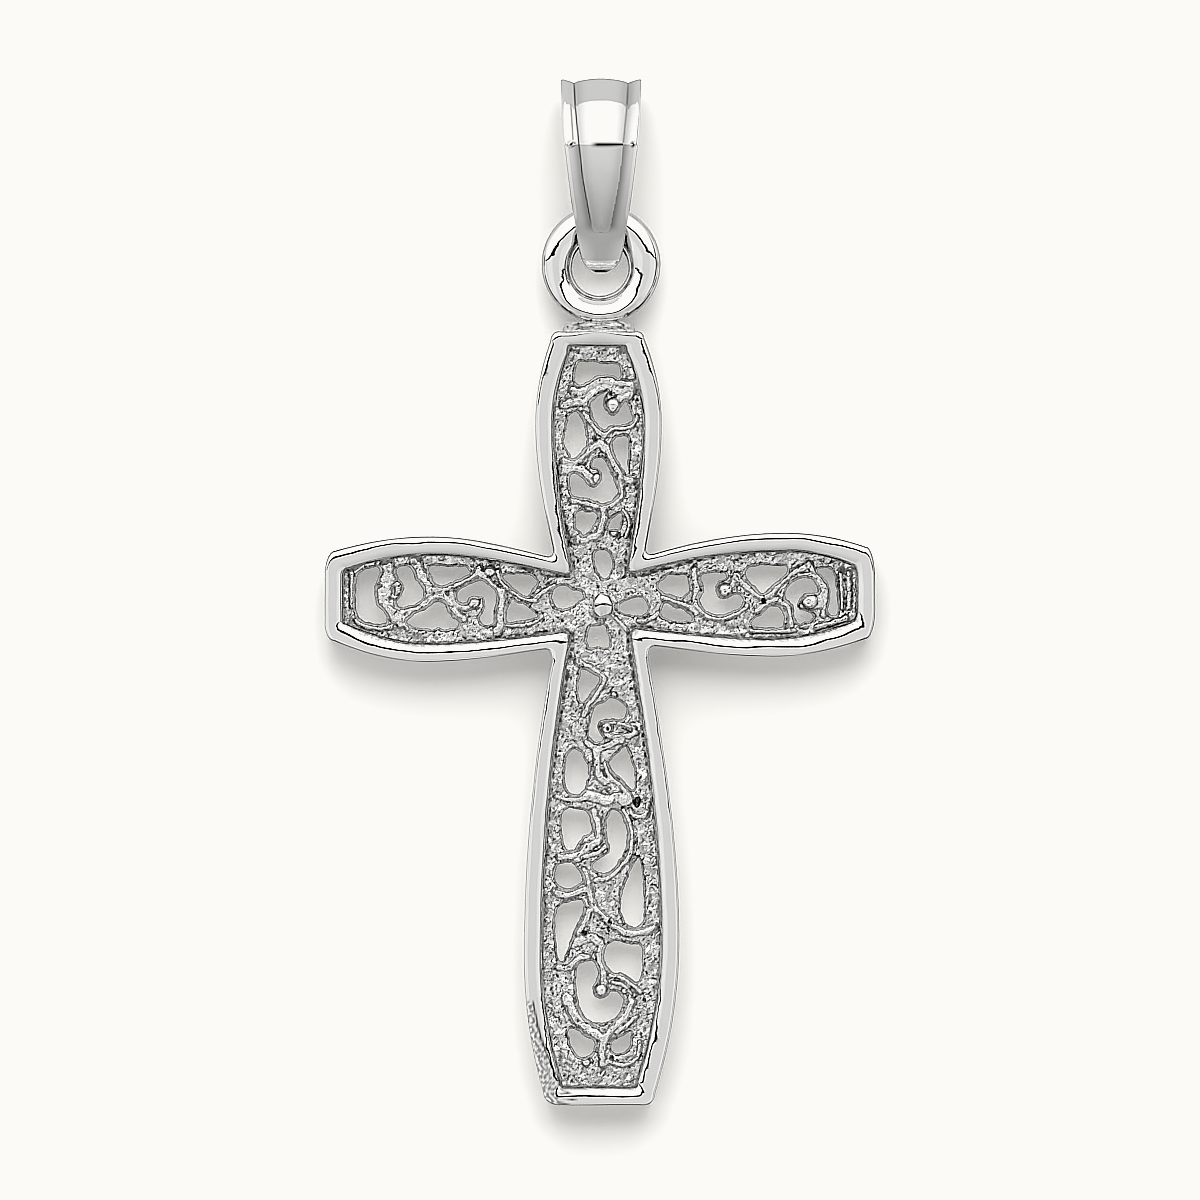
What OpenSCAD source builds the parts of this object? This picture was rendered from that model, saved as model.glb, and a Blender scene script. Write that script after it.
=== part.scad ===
// Cross charm: a cast openwork cross in a raised polished rim, with a soldered hanging ring
// and a folded bail. It lies on its back: +Z comes up out of the front, +Y runs to the bail.
// All sizes are in millimetres. The origin is under the middle of the whole charm.

/* [Cross] */
// Distance of the crossing below the middle of the charm
crossing_drop = 0.34; // [0.2:0.02:0.5]
// Distance of the crossing to the right of the middle of the charm
crossing_x = 0.03; // [0:0.01:0.06]
// Thickness of the cross, from its back to the crest of the rim
cross_t = 1.5; // [1.3:0.05:1.8]
// Width of the rim, seen from the front
rim_w = 0.5; // [0.42:0.02:0.56]

/* [Openwork] */
// Depth of the openwork below the crest of the rim
front_recess = 0.45; // [0.35:0.05:0.6]
// Depth of the openwork above the back of the rim
back_recess = 0.35; // [0.25:0.05:0.45]
// Radius of the polished bead at the crossing
bead_r = 0.33; // [0.25:0.01:0.4]
// Radius of the round knob that ends each scroll
knob_r = 0.21; // [0.16:0.01:0.26]
// Height of the vines above the rest of the openwork
vine_h = 0.12; // [0.06:0.02:0.2]

/* [Hanging ring] */
// Outside diameter of the ring
ring_d = 3.24; // [3:0.02:3.4]
// Diameter of the hole in the ring
ring_hole_d = 1.66; // [1.5:0.02:1.7]
// Thickness of the ring
ring_t = 0.75; // [0.6:0.05:0.75]
// Distance from the crossing to the middle of the ring
ring_rise = 9.27; // [9.2:0.01:9.35]
// How far the hole is set off towards the foot
hole_drop = 0.16; // [0:0.02:0.2]

/* [Bail] */
// Thickness of the bail's folded strip
strip_t = 0.26; // [0.2:0.02:0.28]
// Height of the crease across the front of the bail
crease_z = 3.1; // [2.8:0.05:3.4]
// Radius of the bend over the top of the bail
top_bend_r = 1.3; // [1.2:0.05:1.35]
// Radius of the bend at the tip of the bail
tip_bend_r = 0.58; // [0.56:0.01:0.62]
// Depth of the two grooves in the face of the bail
groove_d = 0.12; // [0.06:0.02:0.14]

/* [Hidden] */

// Openwork: its back and its front, above the floor
back_z = back_recess;
front_z = cross_t - front_recess;
// How far the openwork plate runs in under the rim
plate_bite = 0.22;

// The eight long edges of the four arms, anticlockwise from the lower edge of the right arm.
// Each edge leaves the neck at a slope, swells to the belly and draws in to the tip.
// turn: the way the arm points. side: 1 is the anticlockwise side of the arm, -1 the other.
// at: distance out from the crossing. w: distance from the arm's middle line.
// reach and flat_w: where the arm ends, and where its flat end meets the corner.
// turn, side, neck_at, neck_w, slope, belly_at, belly_w, tip_at, tip_w, reach, flat_w
EDGES = [
  [0, -1, 1.23, 1.12, 0.12, 4.64, 1.43, 7.20, 0.95, 7.47, 0.15],
  [0, 1, 1.17, 1.28, 0.33, 5.05, 1.94, 7.23, 1.55, 7.47, 0.63],
  [90, -1, 1.28, 1.17, 0.19, 4.90, 1.65, 7.25, 1.17, 7.43, 0.98],
  [90, 1, 1.24, 1.25, 0.23, 4.90, 1.79, 7.17, 1.38, 7.43, 1.17],
  [180, -1, 1.25, 1.24, 0.25, 4.64, 1.84, 7.25, 1.45, 7.53, 0.79],
  [180, 1, 1.27, 1.20, 0.15, 4.77, 1.57, 7.28, 1.01, 7.53, 0.57],
  [270, -1, 1.20, 1.27, 0.20, 9.68, 2.10, 13.31, 1.58, 13.66, 1.17],
  [270, 1, 1.12, 1.23, 0.17, 9.14, 2.13, 13.34, 1.47, 13.66, 1.20],
];

// Steps along an edge from neck to belly and from belly to tip, and round a corner
neck_steps = 7;
tip_steps = 5;
corner_steps = 3;

// Section of the rim: distance in from the outer edge as a share of rim_w,
// and height as a share of the thickness
RIM_SECTION = [
  [0.88, 0.00], [1.00, 0.06], [1.00, 0.74], [0.88, 0.85], [0.70, 0.96], [0.48, 1.00],
  [0.26, 0.96], [0.09, 0.84], [0.00, 0.64], [0.00, 0.08], [0.10, 0.00],
];

// The openings of the openwork. Each is a slot along an arc through x, y.
// dir: heading at the middle, 0 to the right and 90 up. curl: how far the slot turns, in degrees.
// taper: how much wider it is at its far end. full: 2 is a leaf or oval, 4 has blunt ends.
// x, y, length, width, dir, curl, taper, full
GAPS = [
  // Upper arm, from the ring down
  [-0.08, 6.02, 1.22, 0.48, 4, 0, -0.35, 4],
  [-0.65, 4.30, 1.25, 0.50, 92, 0, -0.2, 2],
  [0.05, 4.80, 1.80, 0.40, -45, 245, 0, 3],
  [0.62, 3.72, 1.05, 0.35, -80, 0, -0.8, 3],
  [0.13, 2.76, 1.93, 0.40, -140, -290, 0.05, 3],
  [-0.38, 1.92, 0.65, 0.50, -105, 0, -0.4, 3],
  [0.40, 1.87, 0.60, 0.25, -110, 0, 0.2, 2],
  // Four petals round the bead
  [0.08, 0.75, 0.78, 0.50, -90, 0, -0.3, 2.5],
  [-0.90, -0.18, 0.80, 0.55, 0, 0, -0.2, 2.5],
  [0.90, -0.42, 0.80, 0.46, 180, 0, -0.3, 2.5],
  [-0.05, -1.20, 0.78, 0.55, 90, 0, -0.1, 2.5],
  // Left arm, from the crossing outwards
  [-2.20, 0.27, 1.00, 0.50, -8, 0, 0.2, 2.5],
  [-2.20, -0.56, 1.00, 0.50, -3, 0, -0.7, 3],
  [-3.10, 0.00, 1.70, 0.38, -40, -205, 0.15, 3],
  [-4.10, 0.48, 1.12, 0.45, 6, 0, -0.5, 3],
  [-4.42, -0.67, 1.45, 0.72, 0, -35, 0, 1.4],
  [-5.13, 0.12, 1.38, 0.42, -88, -105, 0, 3],
  [-6.36, -0.12, 1.62, 0.56, -86, 55, 0.05, 4],
  // Right arm, from the crossing outwards
  [2.08, 0.18, 0.93, 0.52, 8, 0, 0.25, 2.5],
  [2.05, -0.62, 0.95, 0.34, -20, 0, 0, 2],
  [3.04, -0.24, 1.90, 0.38, -53, 235, 0, 3],
  [4.50, 0.36, 0.82, 0.78, -92, 0, -0.85, 4],
  [4.66, -0.78, 0.90, 0.48, 15, 0, 0.3, 2.5],
  [5.25, -0.26, 1.70, 0.34, -92, 215, 0, 3],
  [6.30, 0.10, 1.40, 0.22, -75, -55, 0, 3],
  // Lower arm, from the crossing down
  [-0.38, -2.55, 0.88, 0.42, -95, 0, -0.1, 2],
  [-0.18, -3.46, 1.55, 0.42, -122, 190, -0.4, 3],
  [-0.65, -4.95, 1.20, 0.60, 90, 0, 0, 2],
  [0.60, -4.73, 1.15, 0.65, -82, 0, 0, 1.8],
  [-0.68, -6.50, 1.10, 0.75, 90, 0, 0, 2.5],
  [0.43, -6.85, 1.85, 0.42, -102, -75, 0, 2.5],
  [-0.90, -7.76, 0.70, 0.60, 90, 0, 0, 2],
  [0.87, -8.25, 1.90, 0.50, -95, 0, 0.5, 2.5],
  [-0.85, -9.15, 1.75, 0.58, -105, 0, -0.6, 3],
  [0.70, -10.05, 1.15, 0.72, -22, 0, 0, 3],
  [-0.33, -11.30, 2.20, 0.46, -46, 200, 0, 3],
  [-0.52, -12.37, 0.85, 0.50, -55, 0, 0, 2.5],
  [0.60, -12.33, 0.72, 0.35, 60, 0, -0.1, 2],
];
// Steps along one side of an opening or a vine
slot_steps = 9;

// The vines raised out of the openwork, with the same columns as the openings
// x, y, length, width, dir, curl, taper, full
VINES = [
  // Upper arm, from the ring down
  [0.16, 5.60, 1.55, 0.20, 8, -40, -0.2, 3],
  [-0.08, 4.18, 1.45, 0.18, -58, 20, 0, 3],
  [-0.62, 3.30, 0.95, 0.18, 22, 40, 0, 3],
  // Left arm, from the crossing outwards
  [-2.75, 0.08, 1.30, 0.14, -25, 20, 0, 3],
  [-4.42, -0.04, 2.10, 0.18, 32, 0, 0, 3],
  [-5.73, -0.42, 0.95, 0.18, -50, 20, 0, 3],
  // Right arm, from the crossing outwards
  [3.33, -0.74, 1.60, 0.15, 0, 100, 0, 3],
  [4.53, -0.22, 2.30, 0.18, 4, 125, 0, 3],
  [5.60, 0.58, 1.15, 0.14, 0, -130, 0, 3],
  // Lower arm, from the crossing down
  [0.62, -3.98, 0.85, 0.18, 172, -30, -0.2, 3],
  [0.10, -5.20, 1.30, 0.18, -42, 0, 0, 3],
  [-0.55, -5.68, 1.20, 0.16, 8, 35, 0, 3],
  [-0.42, -7.20, 1.15, 0.16, 20, 30, 0, 3],
  [-0.85, -8.24, 0.95, 0.14, 0, -20, 0, 3],
  [1.15, -9.38, 1.05, 0.16, 0, 45, 0, 3],
  [-0.38, -11.78, 1.50, 0.18, -44, 20, 0, 3],
  [0.62, -11.68, 1.05, 0.16, 47, 20, 0, 3],
];

// The round knobs that end the scrolls
// x, y
KNOBS = [
  [0.35, 5.08], [-0.11, 3.01], [-3.39, -0.31], [3.41, 0.09],
  [5.70, -0.26], [0.13, -3.72], [0.02, -10.92],
];

// Bail: where it starts, creases and ends, measured along Y
bail_tip_y = 8.71;
bail_crease_y = 12.12;
bail_top_y = 14;
// Half the width of the bail at a distance along Y
// y, half width
BAIL_WIDTH = [
  [8.71, 0.22], [8.80, 0.34], [9.00, 0.42], [9.37, 0.54], [9.77, 0.65],
  [10.68, 0.82], [12.12, 0.99], [13.00, 1.06], [14.00, 1.10],
];
// Section across the bail: share of the half width, and share of the groove depth
BAIL_SECTION = [
  [-1.00, 0.30], [-0.88, 0.00], [-0.74, 0.15], [-0.68, 1.00], [-0.58, 0.45], [-0.30, 0.05],
  [0.30, 0.05], [0.58, 0.45], [0.68, 1.00], [0.74, 0.15], [0.88, 0.00], [1.00, 0.30],
];
// The grooves start above this distance along Y and are full a little further up
groove_from_y = 9.7;
groove_full_y = 10.3;

function lerp(a, b, t) = a + (b - a) * t;
function loop_faces(rings, sides) = [
  for (i = [0:rings - 1], j = [0:sides - 1])
    let (
      a = i * sides + j,
      b = i * sides + (j + 1) % sides,
      c = ((i + 1) % rings) * sides + (j + 1) % sides,
      d = ((i + 1) % rings) * sides + j
    )
    each [[a, c, b], [a, d, c]]
];

// Distance of an edge from the middle line of its arm: a cubic that leaves the neck at the
// given slope and is level at the belly, then a parabola to the tip
function neck_curve(w0, w1, slope, span, t) =
  w0 * (2 * pow(t, 3) - 3 * pow(t, 2) + 1)
  + slope * span * t * pow(1 - t, 2)
  + w1 * (3 * pow(t, 2) - 2 * pow(t, 3));
function tip_curve(w1, w2, t) = w1 + (w2 - w1) * pow(t, 2);

// One long edge from neck to tip and round its corner, as [distance out, distance off the middle]
function edge_run(e, inset) =
  let (neck_at = e[2] - inset, tip_at = e[7] - 0.7 * inset, reach = e[9] - inset)
  let (tip_w = e[8] - inset, flat_w = min(e[10], tip_w - 0.05))
  [
    for (k = [0:neck_steps - 1])
      let (t = k / neck_steps)
      [lerp(neck_at, e[5], t), neck_curve(e[3], e[6], e[4], e[5] - e[2], t) - inset],
    for (k = [0:tip_steps - 1])
      let (t = k / tip_steps)
      [lerp(e[5], tip_at, t), tip_curve(e[6], e[8], t) - inset],
    for (k = [0:corner_steps])
      let (a = 90 * k / corner_steps)
      [tip_at + (reach - tip_at) * sin(a), flat_w + (tip_w - flat_w) * cos(a)],
  ];
function turned(e, p) = [
  crossing_x + p[0] * cos(e[0]) - e[1] * p[1] * sin(e[0]),
  -crossing_drop + p[0] * sin(e[0]) + e[1] * p[1] * cos(e[0])
];
function last(list) = len(list) - 1;
// The whole outline of the cross, drawn in by inset; neighbouring arms share their neck point
function outline(inset) = [
  for (arm = [0:3])
    let (
      first = EDGES[2 * arm],
      second = EDGES[2 * arm + 1],
      out = edge_run(first, inset),
      back = edge_run(second, inset)
    )
    each concat(
      [for (k = [1:last(out)]) turned(first, out[k])],
      [for (k = [last(back):-1:0]) turned(second, back[k])]
    )
];

// One opening or vine: both sides of the slot, from its near end round to the near end again
function slot_middle(g, s) =
  abs(g[5]) < 1
    ? [g[0], g[1]] + g[2] / 2 * s * [cos(g[4]), sin(g[4])]
    : let (r = g[2] / (g[5] * PI / 180), h = g[4] + g[5] / 2 * s)
      [g[0] + r * (sin(h) - sin(g[4])), g[1] - r * (cos(h) - cos(g[4]))];
function slot_side(g, s, side) =
  let (h = g[4] + g[5] / 2 * s, half = g[3] / 2 * (1 + g[6] * s) * sqrt(1 - pow(abs(s), g[7])))
  slot_middle(g, s) + side * half * [-sin(h), cos(h)];
function slot(g) = [
  for (k = [0:slot_steps - 1]) slot_side(g, -cos(180 * k / slot_steps), -1),
  for (k = [0:slot_steps - 1]) slot_side(g, cos(180 * k / slot_steps), 1),
];

// The raised rim: its section carried round the outline
module rim() {
  sides = len(RIM_SECTION);
  runs = [for (s = RIM_SECTION) outline(s[0] * rim_w)];
  rings = len(runs[0]);
  points = [
    for (i = [0:rings - 1], j = [0:sides - 1])
      [runs[j][i][0], runs[j][i][1], RIM_SECTION[j][1] * cross_t]
  ];
  polyhedron(points = points, faces = loop_faces(rings, sides));
}

// The openwork plate with its openings cut through
module openwork() {
  translate([0, 0, back_z])
    linear_extrude(height = front_z - back_z)
      difference() {
        polygon(outline(rim_w - plate_bite));
        for (g = GAPS) polygon(slot(g));
      }
}

// The raised vines, cut back wherever they would run over an opening
module vines() {
  translate([0, 0, front_z - vine_h])
    linear_extrude(height = 2 * vine_h)
      difference() {
        union() {
          for (v = VINES) polygon(slot(v));
        }
        for (g = GAPS) polygon(slot(g));
      }
}

module knobs() {
  for (k = KNOBS)
    translate([k[0], k[1], front_z])
      sphere(r = knob_r, $fn = 20);
}

module centre_bead() {
  translate([crossing_x, -crossing_drop, front_z + 0.4 * bead_r])
    sphere(r = bead_r, $fn = 32);
}

// A disc with a full round edge, less a hole whose mouths are rounded over
module hanging_ring() {
  ring_y = ring_rise - crossing_drop;
  round_r = ring_t / 2;
  translate([0, ring_y, cross_t / 2])
    difference() {
      rotate_extrude($fn = 64)
        union() {
          translate([0, -round_r])
            square([ring_d / 2 - round_r, ring_t]);
          translate([ring_d / 2 - round_r, 0])
            circle(r = round_r, $fn = 32);
        }
      translate([0, -hole_drop, 0])
        rotate_extrude($fn = 64)
          difference() {
            translate([0, -ring_t])
              square([ring_hole_d / 2 + round_r, 2 * ring_t]);
            translate([ring_hole_d / 2 + round_r, 0])
              circle(r = round_r, $fn = 32);
          }
    }
}

// The solder that joins the ring to the end of the upper arm: a collar with a waist
module solder() {
  solder_t = 0.9;
  flare = 0.8;
  waist = 0.62;
  reach = 0.32;
  translate([0, ring_rise - crossing_drop - ring_d / 2, (cross_t - solder_t) / 2])
    linear_extrude(height = solder_t)
      polygon([
        [-flare, -reach], [flare, -reach], [waist, 0], [flare, reach], [-flare, reach], [-waist, 0]
      ]);
}

module cross() {
  color("silver")
    union() {
      rim();
      openwork();
      vines();
      knobs();
      centre_bead();
      hanging_ring();
      solder();
    }
}

// The bail's outer face seen from the side, as [y, z, heading of the outward normal]:
// round the tip, up the front to the crease, down the shoulder, over the top, back along the floor
tip_mid = [bail_tip_y + tip_bend_r, tip_bend_r];
top_mid = [bail_top_y - top_bend_r, top_bend_r];
crease = [bail_crease_y, crease_z];
function heading(v) = atan2(v[1], v[0]);
front_angle = heading(crease - tip_mid) + 90 - asin(tip_bend_r / norm(crease - tip_mid));
shoulder_angle = heading(crease - top_mid) - acos(top_bend_r / norm(crease - top_mid));
function on_arc(mid, r, a) = [mid[0] + r * cos(a), mid[1] + r * sin(a), a];
function on_line(p, q, t, a) = [lerp(p[0], q[0], t), lerp(p[1], q[1], t), a];
front_foot = on_arc(tip_mid, tip_bend_r, front_angle);
shoulder_foot = on_arc(top_mid, top_bend_r, shoulder_angle);
bail_run = [
  for (k = [0:6]) on_arc(tip_mid, tip_bend_r, lerp(270, front_angle, k / 6)),
  for (k = [1:7]) on_line(front_foot, crease, k / 8, front_angle),
  on_line(front_foot, crease, 1, (front_angle + shoulder_angle) / 2),
  for (k = [1:2]) on_line(crease, shoulder_foot, k / 3, shoulder_angle),
  for (k = [0:8]) on_arc(top_mid, top_bend_r, lerp(shoulder_angle, -90, k / 8)),
  for (k = [1:5]) on_line([top_mid[0], 0], [tip_mid[0], 0], k / 6, -90),
];
function groove_share(p) =
  p[1] < top_bend_r && p[0] > groove_full_y ? 0
  : p[1] < tip_bend_r ? 0
  : min(1, max(0, (p[0] - groove_from_y) / (groove_full_y - groove_from_y)));
function bail_ring(p) =
  let (
    half = lookup(p[0], BAIL_WIDTH),
    inward = -[cos(p[2]), sin(p[2])],
    depth = groove_d * groove_share(p),
    face = [
      for (s = BAIL_SECTION)
        let (q = [p[0], p[1]] + inward * s[1] * depth)
        [s[0] * half, q[0], q[1]]
    ],
    inner = [p[0], p[1]] + inward * strip_t
  )
  concat(face, [[half * 0.96, inner[0], inner[1]], [-half * 0.96, inner[0], inner[1]]]);

module bail() {
  sides = len(BAIL_SECTION) + 2;
  color("gainsboro")
    polyhedron(
      points = [for (p = bail_run) each bail_ring(p)],
      faces = loop_faces(len(bail_run), sides)
    );
}

cross();
bail();
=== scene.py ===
import math

import bpy
import numpy as np
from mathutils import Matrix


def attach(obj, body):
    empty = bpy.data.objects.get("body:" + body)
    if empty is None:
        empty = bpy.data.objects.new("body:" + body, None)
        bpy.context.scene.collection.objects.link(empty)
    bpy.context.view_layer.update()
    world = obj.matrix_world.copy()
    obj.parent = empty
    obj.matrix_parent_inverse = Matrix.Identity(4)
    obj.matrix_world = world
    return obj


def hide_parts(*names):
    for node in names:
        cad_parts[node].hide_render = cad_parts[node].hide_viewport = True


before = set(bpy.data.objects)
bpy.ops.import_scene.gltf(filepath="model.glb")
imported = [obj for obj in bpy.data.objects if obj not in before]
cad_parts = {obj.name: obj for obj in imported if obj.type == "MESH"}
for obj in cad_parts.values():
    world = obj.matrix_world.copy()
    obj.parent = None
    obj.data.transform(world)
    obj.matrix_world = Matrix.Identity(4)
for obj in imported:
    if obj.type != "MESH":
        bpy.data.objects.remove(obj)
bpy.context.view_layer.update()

# Every length below is in millimetres and goes into the meshes in metres.
MM = 0.001

# The cross: where its arms cross, its thickness, the rim's width and the share of it at the upper arm's
# tip, how far the crest lies from the outside, where the rim's top ends inside, and where on X the tips
# of the side arms begin
CROSSING = (0.03, -0.34)
CROSS_T = 1.5
RIM_W = 0.5
TOP_RIM = 0.78
CREST_IN = 0.195
INNER_TOP = 0.522
ARM_TIP = 6.95

# Points along each edge of an arm: to the belly, to the shoulder, round the corner; then across a tip,
# and to each side of a corner between two arms
LONG_ARM_STEPS = (64, 70, 14)
SHORT_ARM_STEPS = (46, 36, 14)
TIP_STEPS = 14
CORNER_STEPS = 8

# Openwork: heights of its front, middle and back, how far in from an edge it is rounded off, how far
# inside the outline it ends, and the reach and step of its grid
FRONT_Z = 1.05
MID_Z = 0.70
BACK_Z = 0.35
WIRE_R = 0.20
SHEET_IN = 0.22
SHEET_X = 7.45
SHEET_Y = (-13.9, 7.2)
GRID = 0.027

# Its three parts: the joins on Y and a place past every end, how far a part runs on under the one above,
# how far it sinks there and how early
HEAD_Y = 1.45
JOIN_Y = -1.95
FAR = 99.0
OVERLAP = 0.45
SINK = 0.012
SINK_EARLY = 0.1

# Its casting: how far an opening reaches in the depths, the size of the grains, how far apart the dots
# lie, and the width of the lines of painted shade beside wires and balls
OPEN_REACH = 0.6
GRAIN = 0.125
DOT_APART = 0.15
EDGE_LINE = 0.024

# Centre bead: its middle, its dome's radius, height and rise, and its length on Y over its width
BEAD_MID = (0.082, -0.385)
BEAD_R = 0.35
BEAD_Z = 1.10
BEAD_RISE = 0.36
BEAD_LONG = 1.12

# Hanging ring and its hole: middles and radii, and the shares at which the lip starts and ends, where
# lines of painted shade run
RING_MID = (0.03, 8.93)
RING_R = 1.62
HOLE_MID = (0.0, 8.84)
HOLE_R = 0.765
LIP_STARTS = 0.870
LIP_ENDS = 0.985

# Solder joint between ring and upper arm: its middle, half its length, and how far its ends hang down
JOINT_X = -0.03
JOINT_Y = 7.20
JOINT_Z = 0.72
JOINT_HALF = 1.0
JOINT_SAG = 0.12

# Bail: thickness of its strip, the crease's y and z and its rounding, how far the front is bowed, and
# the arcs of the tip, the shoulder and the back as y, z and radius
STRIP_T = 0.26
CREASE = (12.12, 3.1)
CREASE_R = 0.018
BOW = math.radians(13)
TIP_ARC = (9.29, 0.58, 0.58)
SHOULDER_ARC = (11.88, 0.9936, 2.12)
UNDER_ARC = (13.0064, 0.9936, 0.9936)

# Places on Y on the bail: from where the grooves show, where the part above the crease starts, and the
# line of painted shade along the crease
GROOVES_FROM = 9.70
UPPER_FROM = 12.10
CREASE_SHADE_Y = 12.13

# Painted shade low on upright walls, the openwork ground's darkening, and the colours of bare plating
# and of full darkening, which is mostly painted shade
WALL_AND_UNDERSIDE_SHADE = 0.3
GROUND_DARKENING = 0.15
PLATING = (0.91, 0.91, 0.90, 1)
SHADE_AND_TONE_BLACK = (0.015, 0.015, 0.015, 1)

# Studio: the sheet's colour, its glow, and the painted light added to its glow under the openwork; the half
# sizes on X and Y of the two bars where that is, and the middle of the upright one; the lamp's strength for
# plain and for mirrored rays, the share of the light that plain rays get, and the light's colour
SHEET_WHITE = (0.92, 0.913, 0.885, 1)
SHEET_GLOW = 0.08
GAP_PAINTED_LIGHT = 0.11
UPRIGHT_HALF = (1.15, 9.6)
LEVEL_HALF = (6.6, 1.05)
UPRIGHT_Y = -3.35
LAMP = 4.8
LAMP_MIRRORED = 0.1
DIFFUSE_SHARE = 0.79
LIGHT_COLOUR = (1.0, 0.997, 0.985, 1)

# Photograph: its width in pixels, its scale and the height at which that holds, the place on Y of its
# middle, and the gamma and the white of its print
PHOTO_PX = 1200
PX_PER_MM = 36.67
SCALE_Z = 1.2
VIEW_Y = -0.232
DISPLAY_GAMMA = 2.2
PRINT_WHITE = (0.965, 0.956, 0.922)

# Edges of the four arms: turn, side, then for each edge where it starts at the crossing and how far off
# the middle line, its slope there, its widest place and width, its shoulder and width, its reach, and
# half the width of the flat at the tip
EDGES = [
    [0, -1, 1.23, 1.12, 0.12, 4.64, 1.43, 7.20, 0.95, 7.47, 0.15],
    [0, 1, 1.17, 1.28, 0.33, 5.05, 1.94, 7.23, 1.55, 7.47, 0.63],
    [90, -1, 1.28, 1.17, 0.19, 4.90, 1.65, 7.25, 1.17, 7.43, 0.98],
    [90, 1, 1.24, 1.25, 0.23, 4.90, 1.79, 7.17, 1.38, 7.43, 1.17],
    [180, -1, 1.25, 1.24, 0.25, 4.64, 1.84, 7.25, 1.45, 7.53, 0.79],
    [180, 1, 1.27, 1.20, 0.15, 4.77, 1.57, 7.28, 1.01, 7.53, 0.57],
    [270, -1, 1.20, 1.27, 0.20, 9.68, 2.10, 13.31, 1.58, 13.66, 1.17],
    [270, 1, 1.12, 1.23, 0.17, 9.14, 2.13, 13.34, 1.47, 13.66, 1.20],
]
TURN, SIDE, NECK_W, REACH = 0, 1, 3, 9
UPPER_ARM, LOWER_ARM = 90, 270
ARMS = [EDGES[k:k + 2] for k in range(0, len(EDGES), 2)]

# Line on the rim at the left of the foot, outside of which the skin of the casting is left unpolished
FOOT_FOLD = [(-1.84, -11.10), (-1.76, -11.50), (-1.58, -12.23), (-1.20, -13.15), (-0.76, -13.85)]

# Section of the hanging ring: share of the way from the outer circle to the hole, and height
RING_SECTION = [
    (0.0, 0.75), (0.015, 0.86), (0.05, 0.94), (0.11, 1.01), (0.19, 1.065), (0.28, 1.10), (0.40, 1.122),
    (0.52, 1.115), (0.64, 1.08), (0.75, 1.02), (0.83, 0.955), (0.87, 0.915), (0.91, 0.945), (0.95, 0.94),
    (0.985, 0.87), (1.0, 0.74), (0.96, 0.56), (0.85, 0.43), (0.60, 0.375), (0.30, 0.385), (0.10, 0.48),
    (0.01, 0.62),
]

# Half width of the bail, and half the distance between its two grooves, by the place on Y
BAIL_WIDTH = [
    (8.71, 0.14), (8.73, 0.22), (8.77, 0.30), (8.83, 0.38), (8.90, 0.44), (9.01, 0.51), (9.10, 0.545),
    (9.18, 0.57), (9.26, 0.59), (9.35, 0.61), (9.50, 0.635), (9.77, 0.67), (10.68, 0.82), (12.12, 0.99),
    (13.00, 1.06), (14.00, 1.10),
]
GROOVE_LINE = [
    (9.78, 0.0), (9.785, 0.14), (9.81, 0.20), (9.88, 0.24), (10.0, 0.27), (10.45, 0.36), (11.20, 0.50),
    (12.12, 0.60), (13.20, 0.70), (14.00, 0.74),
]

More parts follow.
